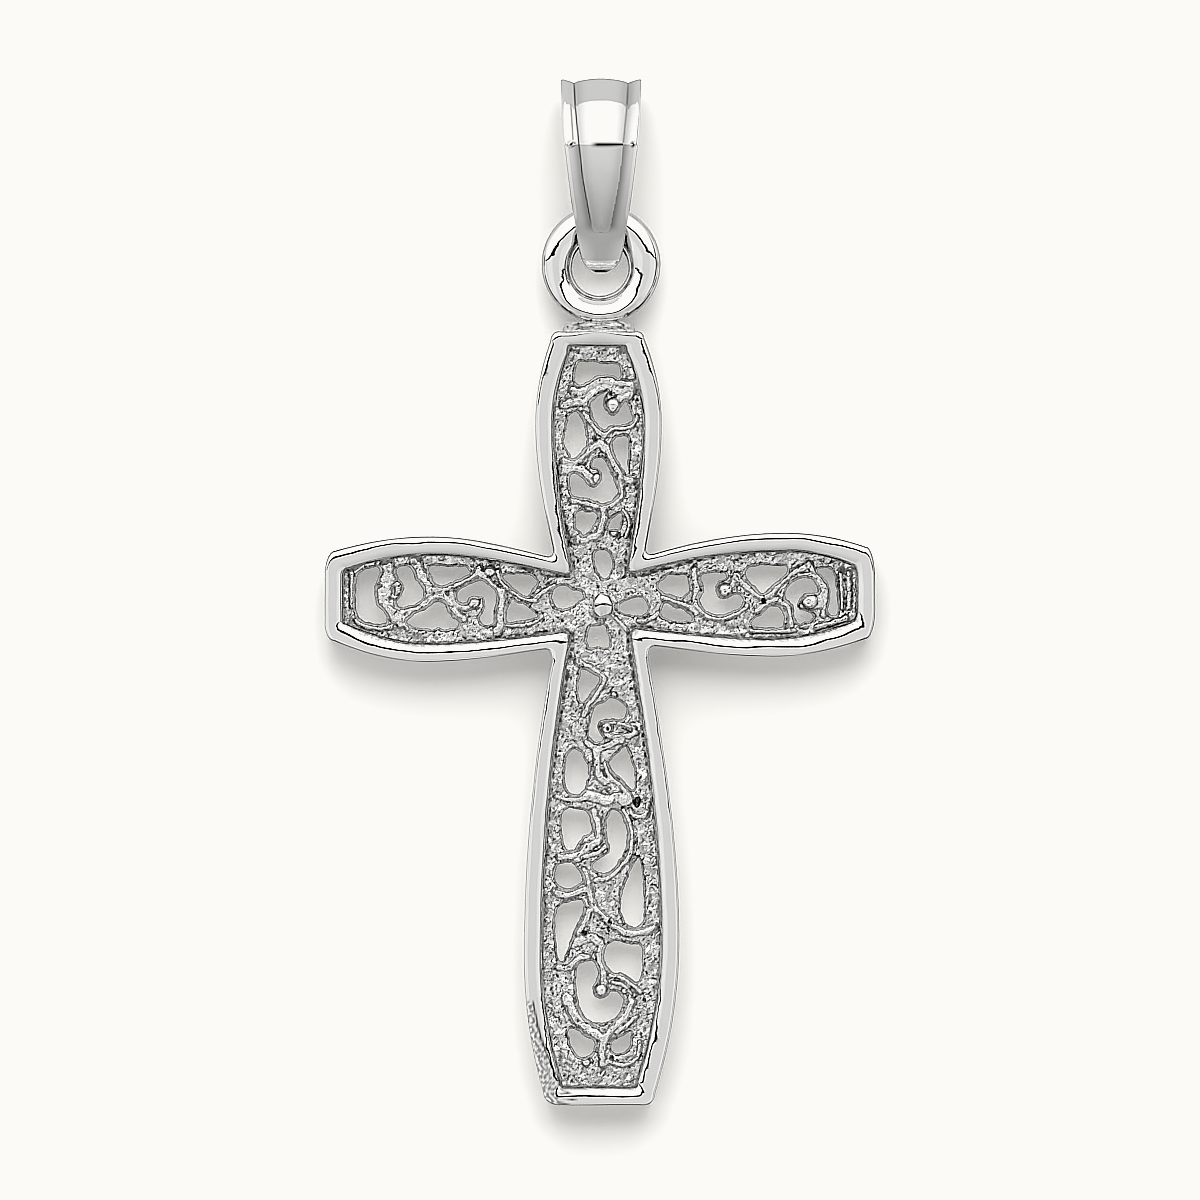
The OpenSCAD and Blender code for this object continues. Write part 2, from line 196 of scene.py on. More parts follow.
# Openings of the openwork: each a smooth closed curve through its points
OPENINGS = [
    # Upper arm, from the tip down
    [(-.68, 5.92), (-.62, 6.19), (-.49, 6.27), (-.10, 6.26), (.07, 6.21), (.34, 6.21), (.52, 6.14),
     (.56, 5.92), (.50, 5.82), (.37, 5.90), (.10, 5.925), (-.13, 5.885), (-.325, 5.74), (-.52, 5.655),
     (-.65, 5.73)],
    [(-.24, 5.14), (-.21, 4.91), (-.13, 4.65), (.12, 4.43), (.28, 4.54), (.635, 4.565), (.85, 4.66),
     (.865, 4.81), (.77, 5.09), (.68, 5.16), (.575, 5.02), (.40, 4.80), (.22, 4.855), (.10, 5.06),
     (.075, 5.27), (.205, 5.445), (-.015, 5.345)],
    [(-.68, 4.90), (-.83, 4.81), (-.89, 4.59), (-.94, 4.32), (-.99, 4.12), (-.925, 3.93), (-.81, 3.70),
     (-.74, 3.655), (-.59, 3.74), (-.43, 3.92), (-.365, 4.11), (-.40, 4.295), (-.445, 4.56), (-.56, 4.81)],
    [(.35, 4.02), (.37, 4.12), (.44, 4.19), (.635, 4.24), (.78, 4.17), (.78, 4.02), (.77, 3.82),
     (.755, 3.55), (.76, 3.225), (.665, 3.31), (.53, 3.52), (.41, 3.76)],
    [(-.21, 3.505), (-.12, 3.64), (.045, 3.64), (.19, 3.46), (.29, 3.225), (.415, 2.93), (.48, 2.72),
     (.37, 2.545), (.13, 2.42), (-.045, 2.46), (-.31, 2.545), (-.575, 2.58), (-.77, 2.66), (-.81, 2.90),
     (-.81, 3.16), (-.635, 3.195), (-.43, 3.03), (-.28, 2.855), (-.075, 2.885), (.05, 3.05), (.06, 3.225),
     (-.075, 3.36), (-.19, 3.38)],
    [(-.50, 2.235), (-.37, 2.16), (-.16, 2.145), (-.08, 2.04), (-.165, 1.835), (-.31, 1.66), (-.46, 1.555),
     (-.56, 1.66), (-.635, 1.75), (-.66, 1.955), (-.65, 2.12)],
    [(.58, 2.13), (.37, 2.01), (.25, 1.835), (.235, 1.69), (.34, 1.70), (.50, 1.72), (.555, 1.90)],
    # Round the centre
    [(-.155, .97), (-.08, 1.09), (.06, 1.13), (.20, 1.08), (.29, .94), (.345, .75), (.29, .56), (.20, .40),
     (.10, .36), (.02, .43), (-.07, .59), (-.14, .78)],
    [(-1.30, -.165), (-1.27, 0), (-1.15, .12), (-.96, .15), (-.72, .04), (-.52, -.02), (-.46, -.17),
     (-.57, -.245), (-.72, -.365), (-.92, -.46), (-1.10, -.45), (-1.23, -.38)],
    [(.48, -.43), (.655, -.285), (.87, -.19), (1.09, -.165), (1.22, -.245), (1.30, -.39), (1.29, -.54),
     (1.13, -.65), (.98, -.64), (.79, -.62), (.57, -.555)],
    [(-.29, -1.05), (-.235, -.96), (0, -.945), (.10, -.92), (.18, -1.08), (.24, -1.32), (.22, -1.51),
     (.10, -1.53), (-.07, -1.50), (-.21, -1.525), (-.30, -1.52), (-.34, -1.40), (-.34, -1.215)],
    # Left arm, from the tip in
    [(-6.625, .35), (-6.54, .51), (-6.37, .61), (-6.11, .655), (-6.01, .555), (-6.05, .38), (-6.15, .18),
     (-6.165, -.105), (-6.095, -.365), (-5.94, -.535), (-5.84, -.68), (-5.84, -.84), (-5.995, -.88),
     (-6.25, -.85), (-6.51, -.75), (-6.625, -.62), (-6.655, -.335), (-6.67, .01)],
    [(-5.55, .555), (-5.45, .68), (-5.22, .67), (-5.105, .525), (-5.06, .355), (-4.93, .18), (-4.82, -.02),
     (-4.875, -.19), (-5.02, -.32), (-5.305, -.41), (-5.48, -.415), (-5.55, -.28), (-5.42, -.11),
     (-5.35, .095), (-5.37, .21), (-5.48, .35)],
    [(-5.25, -.84), (-5.08, -.64), (-4.76, -.495), (-4.56, -.335), (-4.40, -.28), (-4.27, -.35),
     (-4.16, -.535), (-4.03, -.72), (-3.85, -.84), (-3.92, -.97), (-4.06, -1.01), (-4.30, -1.025),
     (-4.40, -.97), (-4.53, -1.025), (-4.76, -1.0), (-5.08, -.96)],
    [(-4.66, .65), (-4.47, .70), (-4.16, .67), (-4.03, .67), (-3.73, .675), (-3.59, .59), (-3.56, .495),
     (-3.73, .40), (-3.95, .315), (-4.10, .24), (-4.30, .17), (-4.49, .24), (-4.60, .425)],
    [(-3.895, -.09), (-3.84, .02), (-3.645, .15), (-3.39, .26), (-3.24, .30), (-3.09, .20), (-2.95, .08),
     (-2.85, -.06), (-2.84, -.31), (-2.91, -.505), (-2.905, -.70), (-2.95, -.87), (-3.14, -.91),
     (-3.28, -.76), (-3.21, -.62), (-3.14, -.42), (-3.155, -.255), (-3.20, -.145), (-3.365, -.13),
     (-3.55, -.145), (-3.63, -.255), (-3.74, -.30), (-3.87, -.24)],
    [(-2.64, .42), (-2.475, .47), (-2.20, .47), (-1.92, .44), (-1.74, .315), (-1.75, .19), (-1.86, .05),
     (-1.975, -.12), (-2.085, -.10), (-2.25, .01), (-2.45, .19), (-2.615, .33)],
    [(-2.39, -.23), (-2.25, -.325), (-2.085, -.34), (-1.89, -.505), (-1.725, -.64), (-1.77, -.715),
     (-1.975, -.755), (-2.25, -.80), (-2.50, -.83), (-2.545, -.645), (-2.53, -.48), (-2.46, -.34)],
    # Right arm, from the centre out
    [(1.59, .15), (1.70, .30), (1.87, .44), (2.12, .44), (2.36, .42), (2.41, .23), (2.42, .04),
     (2.30, -.10), (2.145, -.155), (1.95, -.07), (1.73, -.02)],
    [(1.67, -.52), (1.73, -.38), (1.855, -.335), (2.06, -.45), (2.285, -.52), (2.45, -.64), (2.50, -.77),
     (2.37, -.80), (2.17, -.82), (1.92, -.77), (1.73, -.70)],
    [(2.79, .43), (2.98, .50), (3.23, .51), (3.39, .49), (3.43, .38), (3.34, .33), (3.22, .275),
     (3.17, .18), (3.15, .07), (3.175, -.07), (3.27, -.20), (3.43, -.21), (3.565, -.155), (3.70, -.07),
     (3.86, -.155), (3.885, -.32), (3.79, -.435), (3.565, -.545), (3.34, -.63), (3.15, -.615),
     (2.925, -.52), (2.785, -.38), (2.72, -.24), (2.76, -.155), (2.84, .01), (2.84, .15), (2.785, .29)],
    [(3.99, .57), (4.17, .68), (4.50, .72), (4.81, .69), (5.06, .68), (5.11, .595), (5.06, .48),
     (4.835, .29), (4.61, .095), (4.445, -.03), (4.33, .01), (4.195, .18), (4.01, .37)],
    [(5.06, -.07), (5.11, .07), (5.25, .235), (5.45, .345), (5.67, .36), (5.84, .26), (5.92, .12),
     (5.93, 0), (5.78, -.03), (5.61, -.045), (5.475, -.155), (5.39, -.295), (5.38, -.41), (5.45, -.505),
     (5.61, -.545), (5.78, -.63), (5.82, -.71), (5.725, -.795), (5.585, -.84), (5.45, -.865), (5.335, -.74),
     (5.295, -.545), (5.28, -.38), (5.195, -.27), (5.085, -.18)],
    [(4.13, -.86), (4.22, -.74), (4.42, -.63), (4.585, -.46), (4.695, -.405), (4.835, -.42), (4.945, -.52),
     (5.015, -.685), (5.015, -.88), (4.94, -.96), (4.695, -.975), (4.42, -.975), (4.195, -.935)],
    [(5.96, .58), (6.06, .625), (6.28, .61), (6.38, .485), (6.42, .235), (6.46, -.045), (6.475, -.32),
     (6.46, -.60), (6.365, -.655), (6.25, -.60), (6.225, -.49), (6.28, -.265), (6.295, -.015), (6.25, .18),
     (6.14, .345), (6.0, .485)],
    # Lower arm, from the centre down
    [(-.51, -2.14), (-.35, -2.175), (-.15, -2.29), (-.02, -2.38), (-.07, -2.52), (-.215, -2.69),
     (-.31, -2.82), (-.41, -2.965), (-.51, -3.0), (-.58, -2.90), (-.595, -2.72), (-.58, -2.455),
     (-.53, -2.29)],
    [(-.18, -3.28), (-.115, -3.15), (.08, -3.05), (.25, -2.93), (.41, -2.93), (.58, -3.02), (.695, -3.15),
     (.71, -3.315), (.65, -3.46), (.51, -3.48), (.25, -3.475), (.05, -3.50), (-.05, -3.58), (-.08, -3.71),
     (-.02, -3.845), (.07, -4.0), (.03, -4.08), (-.115, -4.10), (-.25, -4.0), (-.315, -3.845),
     (-.28, -3.645), (-.23, -3.45)],
    [(-.68, -4.31), (-.81, -4.37), (-.91, -4.54), (-.955, -4.805), (-.955, -5.12), (-.905, -5.38),
     (-.78, -5.51), (-.61, -5.53), (-.47, -5.43), (-.38, -5.22), (-.325, -4.98), (-.34, -4.77),
     (-.445, -4.54), (-.545, -4.39)],
    [(.695, -4.23), (.545, -4.37), (.38, -4.505), (.26, -4.66), (.33, -4.86), (.54, -5.05), (.73, -5.26),
     (.87, -5.41), (.95, -5.29), (.94, -5.01), (.885, -4.735), (.79, -4.47)],
    [(-1.0, -6.0), (-.85, -5.935), (-.61, -5.95), (-.40, -6.005), (-.28, -6.23), (-.225, -6.51),
     (-.33, -6.61), (-.47, -6.685), (-.61, -6.89), (-.715, -7.04), (-.85, -7.05), (-.955, -6.96),
     (-1.01, -6.755), (-1.045, -6.475), (-1.045, -6.20)],
    [(.27, -6.05), (.40, -5.97), (.54, -6.06), (.645, -6.27), (.73, -6.545), (.715, -6.82), (.66, -7.10),
     (.505, -7.345), (.365, -7.55), (.12, -7.69), (-.085, -7.64), (-.20, -7.52), (-.105, -7.38),
     (.085, -7.24), (.25, -7.135), (.28, -6.995), (.225, -6.82), (.19, -6.545), (.19, -6.27)],
    [(-1.165, -7.50), (-.99, -7.415), (-.78, -7.415), (-.61, -7.59), (-.505, -7.80), (-.50, -7.915),
     (-.64, -8.02), (-.895, -8.105), (-1.08, -8.045), (-1.205, -7.88), (-1.23, -7.70)],
    [(1.05, -7.27), (.955, -7.41), (.835, -7.62), (.77, -7.805), (.66, -8.06), (.585, -8.43),
     (.585, -8.755), (.71, -9.03), (.93, -9.16), (1.115, -9.07), (1.20, -8.83), (1.19, -8.43),
     (1.17, -7.99), (1.15, -7.70), (1.11, -7.45)],
    [(-1.12, -8.62), (-.93, -8.50), (-.64, -8.43), (-.49, -8.46), (-.455, -8.645), (-.53, -8.865),
     (-.64, -9.085), (-.75, -9.34), (-.84, -9.60), (-.93, -9.89), (-1.01, -10.06), (-1.11, -10.05),
     (-1.17, -9.85), (-1.205, -9.52), (-1.225, -9.16), (-1.20, -8.83)],
    [(.13, -9.815), (.24, -9.63), (.455, -9.54), (.75, -9.63), (1.03, -9.65), (1.14, -9.74),
     (1.15, -10.035), (1.15, -10.325), (1.08, -10.56), (.97, -10.64), (.785, -10.51), (.565, -10.40),
     (.38, -10.40), (.24, -10.25), (.13, -10.07)],
    [(-.585, -10.215), (-.385, -10.105), (-.165, -10.135), (-.07, -10.36), (-.11, -10.62), (-.21, -10.82),
     (-.155, -11.03), (0, -11.12), (.19, -11.05), (.295, -10.93), (.47, -10.945), (.62, -11.12),
     (.59, -11.345), (.45, -11.59), (.225, -11.73), (-.05, -11.77), (-.26, -11.71), (-.45, -11.535),
     (-.555, -11.29), (-.625, -10.98), (-.66, -10.67), (-.64, -10.40)],
    [(-.85, -12.0), (-.77, -11.93), (-.61, -11.99), (-.40, -12.16), (-.19, -12.27), (-.155, -12.405),
     (-.225, -12.61), (-.33, -12.68), (-.505, -12.70), (-.61, -12.66), (-.715, -12.51), (-.82, -12.30)],
    [(.83, -12.03), (.645, -12.13), (.40, -12.25), (.315, -12.37), (.315, -12.51), (.435, -12.605),
     (.645, -12.58), (.78, -12.44), (.835, -12.23)],
]

# Raised wires of the openwork: width, rise, and the points that the middle line runs through
WIRES = [
    # Upper arm
    [.26, .16, (-.72, 5.52), (-.50, 5.47), (-.25, 5.66), (0, 5.77), (.2, 5.78), (.5, 5.69), (.75, 5.62),
     (1.0, 5.66)],
    [.22, .12, (-1.0, 5.10), (-.7, 5.18), (-.42, 5.20), (-.2, 5.38), (.05, 5.52), (.4, 5.50), (.85, 5.45)],
    [.20, .14, (.80, 5.35), (.58, 5.25), (.40, 5.12)],
    [.16, .12, (-.45, 4.85), (-.25, 4.65), (-.05, 4.40), (.10, 4.25)],
    [.14, .12, (.12, 4.30), (.35, 4.45), (.65, 4.48), (.86, 4.52), (1.0, 4.75)],
    [.22, .16, (0, 4.05), (.22, 3.85), (.38, 3.55), (.52, 3.28), (.70, 3.10), (.90, 3.02)],
    [.20, .14, (0, 4.05), (-.32, 3.84), (-.56, 3.62), (-.78, 3.53), (-1.0, 3.56)],
    [.26, .12, (-1.05, 3.33), (-.75, 3.33), (-.48, 3.27), (-.30, 3.10), (-.12, 3.02)],
    [.16, .14, (.55, 3.08), (.58, 2.80), (.55, 2.58), (.36, 2.40), (.10, 2.30)],
    [.16, .10, (-.75, 2.50), (-.35, 2.42), (-.05, 2.32), (.15, 2.26)],
    [.20, .14, (.08, 2.25), (.10, 2.0), (.03, 1.75), (-.08, 1.55), (-.35, 1.45), (-.7, 1.40)],
    [.10, .08, (.64, 2.20), (.78, 2.0), (.80, 1.75), (.70, 1.5)],
    # Round the centre
    [.12, .08, (1.05, -.80), (1.25, -.80), (1.45, -.70), (1.60, -.58)],
    [.10, .08, (.42, -.72), (.62, -.92), (.85, -1.20)],
    [.12, .10, (-1.80, -.22), (-1.53, .0), (-1.25, .16)],
    # Left arm
    [.36, .18, (-5.80, .85), (-5.80, .50), (-5.82, .20), (-5.93, -.10), (-5.85, -.40), (-5.60, -.65),
     (-5.30, -.82)],
    [.30, .17, (-5.94, .33), (-5.84, .36), (-5.72, .36)],
    [.16, .12, (-5.66, -.30), (-5.36, -.52), (-5.10, -.42), (-4.85, -.28), (-4.66, -.05)],
    [.18, .14, (-5.30, -.72), (-5.08, -.54), (-4.80, -.40), (-4.60, -.22), (-4.38, -.12), (-4.20, -.17),
     (-4.08, -.36), (-3.92, -.58), (-3.72, -.75)],
    [.28, .16, (-5.06, .95), (-4.95, .60), (-4.82, .38), (-4.68, .20)],
    [.16, .14, (-4.75, .04), (-4.50, .07), (-4.25, .07), (-4.05, .16), (-3.70, .30), (-3.40, .48),
     (-3.28, .64)],
    [.18, .14, (-4.04, -.05), (-3.87, -.35), (-3.62, -.42), (-3.42, -.36)],
    [.18, .16, (-3.32, .58), (-3.12, .33), (-2.92, .12), (-2.74, -.05)],
    [.24, .16, (-2.70, .0), (-2.70, -.37), (-2.70, -.65), (-2.72, -.92), (-2.80, -1.10)],
    [.12, .12, (-2.80, .55), (-2.66, .25), (-2.44, .05), (-2.20, -.11), (-1.97, -.21), (-1.76, -.26)],
    [.12, .08, (-2.50, -.92), (-2.20, -.92), (-1.85, -.85), (-1.60, -.68)],
    [.13, .10, (-6.82, .55), (-6.76, .30), (-6.78, -.05), (-6.76, -.40)],
    [.14, .10, (-6.64, -.80), (-6.35, -.96), (-6.0, -1.0), (-5.70, -.95)],
    # Right arm
    [.16, .12, (2.55, .60), (2.60, .30), (2.64, .10), (2.60, -.10), (2.64, -.38), (2.88, -.62),
     (3.15, -.72), (3.50, -.68), (3.80, -.53), (3.98, -.38)],
    [.16, .12, (3.68, .38), (3.62, .20), (3.44, .10)],
    [.18, .14, (3.72, .45), (3.88, .25), (4.08, .08), (4.28, -.07), (4.48, -.12), (4.68, -.04), (4.86, .18),
     (5.05, .37), (5.25, .53), (5.48, .62), (5.70, .74)],
    [.16, .14, (5.70, .76), (5.80, .60), (5.98, .42), (6.14, .20), (6.20, -.05), (6.16, -.35),
     (6.10, -.62)],
    [.12, .10, (5.45, .44), (5.78, .44), (5.95, .27), (6.03, .08)],
    [.26, .12, (6.10, -.05), (6.0, -.32), (5.76, -.32)],
    [.16, .14, (4.85, -.22), (5.12, -.40), (5.19, -.65), (5.22, -.95)],
    [.14, .10, (4.28, -.52), (4.55, -.33), (4.78, -.20)],
    [.10, .10, (6.56, .48), (6.58, .10), (6.60, -.45)],
    [.14, .10, (6.78, .50), (6.80, .0), (6.78, -.45)],
    [.14, .10, (5.90, -.98), (6.35, -.86), (6.72, -.72)],
    [.12, .08, (4.12, -1.08), (4.60, -1.07), (5.0, -1.08), (5.3, -1.06)],
    [.14, .10, (1.72, -.16), (2.10, -.30), (2.40, -.40), (2.60, -.58)],
    # Lower arm
    [.16, .12, (-.62, -1.90), (-.30, -2.06), (-.04, -2.24), (.10, -2.42), (-.12, -2.82), (-.34, -3.10),
     (-.44, -3.35)],
    [.10, .12, (.06, -3.57), (.35, -3.56), (.65, -3.62), (.95, -3.74)],
    [.14, .12, (.14, -3.88), (.40, -3.97), (.75, -3.95), (1.0, -3.85)],
    [.16, .10, (-.36, -4.12), (-.10, -4.26), (.15, -4.23), (.45, -4.10), (.62, -4.05)],
    [.20, .12, (-.10, -4.35), (-.08, -4.75), (0, -5.05), (.16, -5.18)],
    [.13, .12, (.14, -4.70), (.28, -5.05), (.52, -5.25), (.76, -5.50), (.85, -5.70)],
    [.26, .12, (-.38, -5.56), (-.12, -5.60), (.20, -5.70), (.48, -5.62), (.70, -5.72)],
    [.12, .08, (-1.2, -5.58), (-.9, -5.66), (-.6, -5.68), (-.36, -5.60)],
    [.20, .14, (-.18, -6.0), (-.06, -6.40), (-.04, -6.75), (-.28, -6.92), (-.55, -7.14), (-.82, -7.22),
     (-1.08, -7.24)],
    [.12, .10, (-.68, -7.34), (-.35, -7.22), (-.05, -7.12), (.14, -6.95)],
    [.12, .12, (.80, -5.95), (.96, -6.12), (1.24, -6.10), (1.32, -5.80)],
    [.14, .12, (.66, -5.98), (.82, -6.40), (.86, -6.80), (.80, -7.18), (.58, -7.48), (.22, -7.80),
     (-.12, -7.88)],
    [.18, .16, (-.42, -7.62), (-.32, -7.95), (-.28, -8.25), (-.14, -8.60), (.15, -8.92), (.45, -9.15),
     (.75, -9.32), (1.0, -9.30), (1.25, -9.27), (1.5, -9.15)],
    [.18, .14, (-1.22, -8.20), (-.93, -8.29), (-.64, -8.20), (-.40, -8.12)],
    [.16, .12, (-.62, -9.30), (-.40, -9.0), (-.30, -8.70)],
    [.22, .12, (-.76, -9.62), (-.50, -9.50), (-.20, -9.45), (.02, -9.65), (0, -10.0), (.08, -10.50),
     (.10, -10.80)],
    [.16, .12, (-1.15, -10.25), (-.86, -10.25), (-.60, -10.02), (-.35, -9.96)],
    [.12, .12, (.28, -10.48), (.55, -10.50), (.85, -10.68), (1.10, -10.92)],
    [.10, .10, (.35, -10.66), (.60, -10.72), (.82, -10.96), (.80, -11.12)],
    [.28, .16, (-.90, -11.10), (-.72, -11.52), (-.42, -11.86), (-.10, -12.10), (.12, -12.22)],
    [.20, .16, (.86, -11.22), (.72, -11.55), (.45, -11.82), (.18, -12.12), (.06, -12.35), (.06, -12.65),
     (.1, -12.9)],
    [.12, .10, (.98, -11.60), (.76, -11.80), (.46, -12.02)],
    [.12, .10, (.20, -12.80), (.60, -12.92), (.90, -12.82), (1.06, -12.60), (1.08, -12.30)],
]

# Small balls of metal on the ends of the scrolls: x, y, radius
BALLS = [
    [.36, 5.08, .20], [-.06, 3.08, .15], [.38, 1.61, .11], [-.88, .0, .09], [-3.44, -.28, .17],
    [-3.0, .56, .15],
    [3.42, .04, .19], [5.72, -.25, .22], [.38, -2.82, .09], [.18, -3.72, .14], [.03, -10.88, .17],
    [.66, -10.90, .08],
    [-.38, -12.84, .12],
]

# Pits of the casting: x, y, radius
PITS = [
    [-.12, 4.17, .07], [.48, 1.52, .08], [.21, -3.76, .06], [1.02, -5.74, .12], [.28, -9.02, .09],
    [-.42, -9.33, .08],
    [1.22, -11.15, .07], [.35, -12.72, .06], [-3.45, .72, .06], [-3.22, .70, .05], [4.46, -.26, .07],
    [-4.99, .66, .04], [-2.02, -.93, .04], [6.32, .58, .04],
]


# Sums and meshes that several pieces use
def smooth(t):
    """Eased step: 3t^2 - 2t^3 of t held between 0 and 1."""
    t = np.clip(t, 0.0, 1.0)
    return t * t * (3 - 2 * t)


def bell(off, width):
    """Bell curve: e to the minus square of off / width, 1 on the line and soon 0 beyond the width."""
    return np.exp(-((off / width) ** 2))


def ripple(x, y, length, count, seed):
    """Uneven field of about -1 to 1: the sum of cosine waves in seeded directions, each wave near the
    given length."""
    draw = np.random.default_rng(seed)
    total = np.zeros(np.broadcast(x, y).shape)
    for _ in range(count):
        turn = draw.uniform(0, 2 * math.pi)
        wave = length * draw.uniform(0.75, 1.35)
        start = draw.uniform(0, 2 * math.pi)
        total += np.cos((x * math.cos(turn) + y * math.sin(turn)) * 2 * math.pi / wave + start)
    return total / math.sqrt(count * 1.2)


def patches(x, y, length, count, seed, level, gain):
    """Soft-edged patches from 0 to 1: the eased step of level plus gain times a ripple."""
    return smooth(level + gain * ripple(x, y, length, count, seed))


def loop_noise(loop, waves, count, seed):
    """Uneven field along a closed line: the sum of cosines, each with a seeded whole number of waves
    round it."""
    draw = np.random.default_rng(seed)
    total = np.zeros(loop.shape)
    for _ in range(count):
        total += np.cos(loop * draw.integers(*waves) + draw.uniform(0, 2 * math.pi))
    return total / math.sqrt(count)


def curve(points, closed, steps=6):
    """A smooth curve through points: between each two a cubic whose slopes at its ends are half the step
    from the point before to the point after."""
    p = np.array(points, float)
    if closed:
        p0, p1, p2, p3 = np.roll(p, 1, axis=0), p, np.roll(p, -1, axis=0), np.roll(p, -2, axis=0)
    else:
        p = np.concatenate([[2 * p[0] - p[1]], p, [2 * p[-1] - p[-2]]])
        p0, p1, p2, p3 = p[:-3], p[1:-2], p[2:-1], p[3:]
    t = np.linspace(0, 1, steps, endpoint=False)[None, :, None]
    p0, p1, p2, p3 = (q[:, None, :] for q in (p0, p1, p2, p3))
    run = p1 + 0.5 * t * (p2 - p0 + t * (2 * p0 - 5 * p1 + 4 * p2 - p3 + t * (3 * p1 - 3 * p2 + p3 - p0)))
    run = run.reshape(-1, 2)
    return run if closed else np.concatenate([run, p[-2:-1]])


def to_side(px, py, a, b):
    """Squared distance from points to the straight side from a to b."""
    ex, ey = b[0] - a[0], b[1] - a[1]
    t = np.clip(((px - a[0]) * ex + (py - a[1]) * ey) / max(ex * ex + ey * ey, 1e-12), 0, 1)
    return (px - a[0] - t * ex) ** 2 + (py - a[1] - t * ey) ** 2


def to_line(px, py, line):
    """Distance from points to an open line: the least distance to its sides."""
    least = np.full(px.shape, 1e9)
    for a, b in zip(line[:-1], line[1:]):
        least = np.minimum(least, to_side(px, py, a, b))
    return np.sqrt(least)


def to_loop(px, py, loop):
    """Distance from points to a closed line, below zero inside it: the least distance to its sides, its
    sign turned by each side that a ray along +X crosses."""
    least = np.full(px.shape, 1e9)
    inside = np.zeros(px.shape, bool)
    for a, b in zip(loop, np.roll(loop, -1, axis=0)):
        least = np.minimum(least, to_side(px, py, a, b))
        if a[1] != b[1]:
            spans = (a[1] > py) != (b[1] > py)
            inside ^= spans & (px < a[0] + (py - a[1]) * (b[0] - a[0]) / (b[1] - a[1]))
    return np.where(inside, -1.0, 1.0) * np.sqrt(least)


def grains(x, y, size, seed):
    """Packed grains of about the given size: distance to the nearest seeded point and to the next
    nearest, each point drawn off the middle of its square of a grid, and a height of its own for each
    grain."""
    cells, shift = 1024, 500.0
    draw = np.random.default_rng(seed)
    off_x = draw.uniform(0.05, 0.95, (cells, cells))
    off_y = draw.uniform(0.05, 0.95, (cells, cells))
    tall = draw.uniform(-1, 1, (cells, cells))
    u, v = x / size + shift, y / size + shift
    iu, iv = np.floor(u).astype(int), np.floor(v).astype(int)
    first = np.full(x.shape, 9.0)
    second = np.full(x.shape, 9.0)
    height = np.zeros(x.shape)
    for du in (-1, 0, 1):
        for dv in (-1, 0, 1):
            cu, cv = (iu + du) % cells, (iv + dv) % cells
            d = np.hypot(iu + du + off_x[cu, cv] - u, iv + dv + off_y[cu, cv] - v)
            nearer = d < first
            second = np.where(nearer, first, np.minimum(second, d))
            height = np.where(nearer, tall[cu, cv], height)
            first = np.where(nearer, d, first)
    return first, second, height


def piece(name, points, faces, painted_shade_and_tone):
    """A smooth-shaded mesh object from points in millimetres; faces are turned outwards by the sign of the
    volume. The last argument, 0 to 1 a point, darkens it: mostly painted shade, some the metal's own tone."""
    co = points.reshape(-1, 3) * MM
    first = co[faces[:, 0]]
    volume = 0.0
    for k in range(1, faces.shape[1] - 1):
        volume += np.einsum("ij,ij->i", first, np.cross(co[faces[:, k]], co[faces[:, k + 1]])).sum()
    if volume < 0:
        faces = faces[:, ::-1]
    mesh = bpy.data.meshes.new(name)
    mesh.from_pydata(co.tolist(), [], faces.tolist())
    mesh.shade_smooth()
    # point attribute of painted shade, with some of the metal's own tone, that the materials darken by
    layer = mesh.attributes.new("painted_shade_and_tone", "FLOAT", "POINT")
    layer.data.foreach_set("value", painted_shade_and_tone.ravel().astype(np.float32))
    obj = bpy.data.objects.new(name, mesh)
    bpy.context.scene.collection.objects.link(obj)
    return obj


def tube_faces(rings, around, closed=True):
    """Quads of a grid of rings x around points that closes around, and along as well if closed."""
    r = np.arange(rings if closed else rings - 1)[:, None]
    a = np.arange(around)[None, :]
    r2 = (r + 1) % rings
    a2 = (a + 1) % around
    quads = np.stack([r * around + a, r * around + a2, r2 * around + a2, r2 * around + a], axis=-1)
    return quads.reshape(-1, 4)


def capped_piece(name, x, y, z, poles, painted_shade_and_tone, pole_shade_and_tone):
    """A closed form from rings of points and a pole at each end: triangles between the rings, a fan at
    each pole."""
    rings, around = x.shape
    quads = tube_faces(rings, around, closed=False)
    k = np.arange(around)
    k2 = (k + 1) % around
    last = (rings - 1) * around
    start = np.stack([np.full(around, rings * around), k2, k], axis=1)
    end = np.stack([np.full(around, rings * around + 1), last + k, last + k2], axis=1)
    tris = np.concatenate([quads[:, [0, 1, 2]], quads[:, [0, 2, 3]], start, end])
    points = np.concatenate([np.stack([x, y, z], axis=2).reshape(-1, 3), poles])
    return piece(name, points, tris, np.concatenate([painted_shade_and_tone.ravel(), pole_shade_and_tone]))


# Outline of the cross
def tip_share(edge):
    """How wide the rim is at an arm's tip, as a share of its width along the sides."""
    return TOP_RIM if edge[TURN] == UPPER_ARM else 1


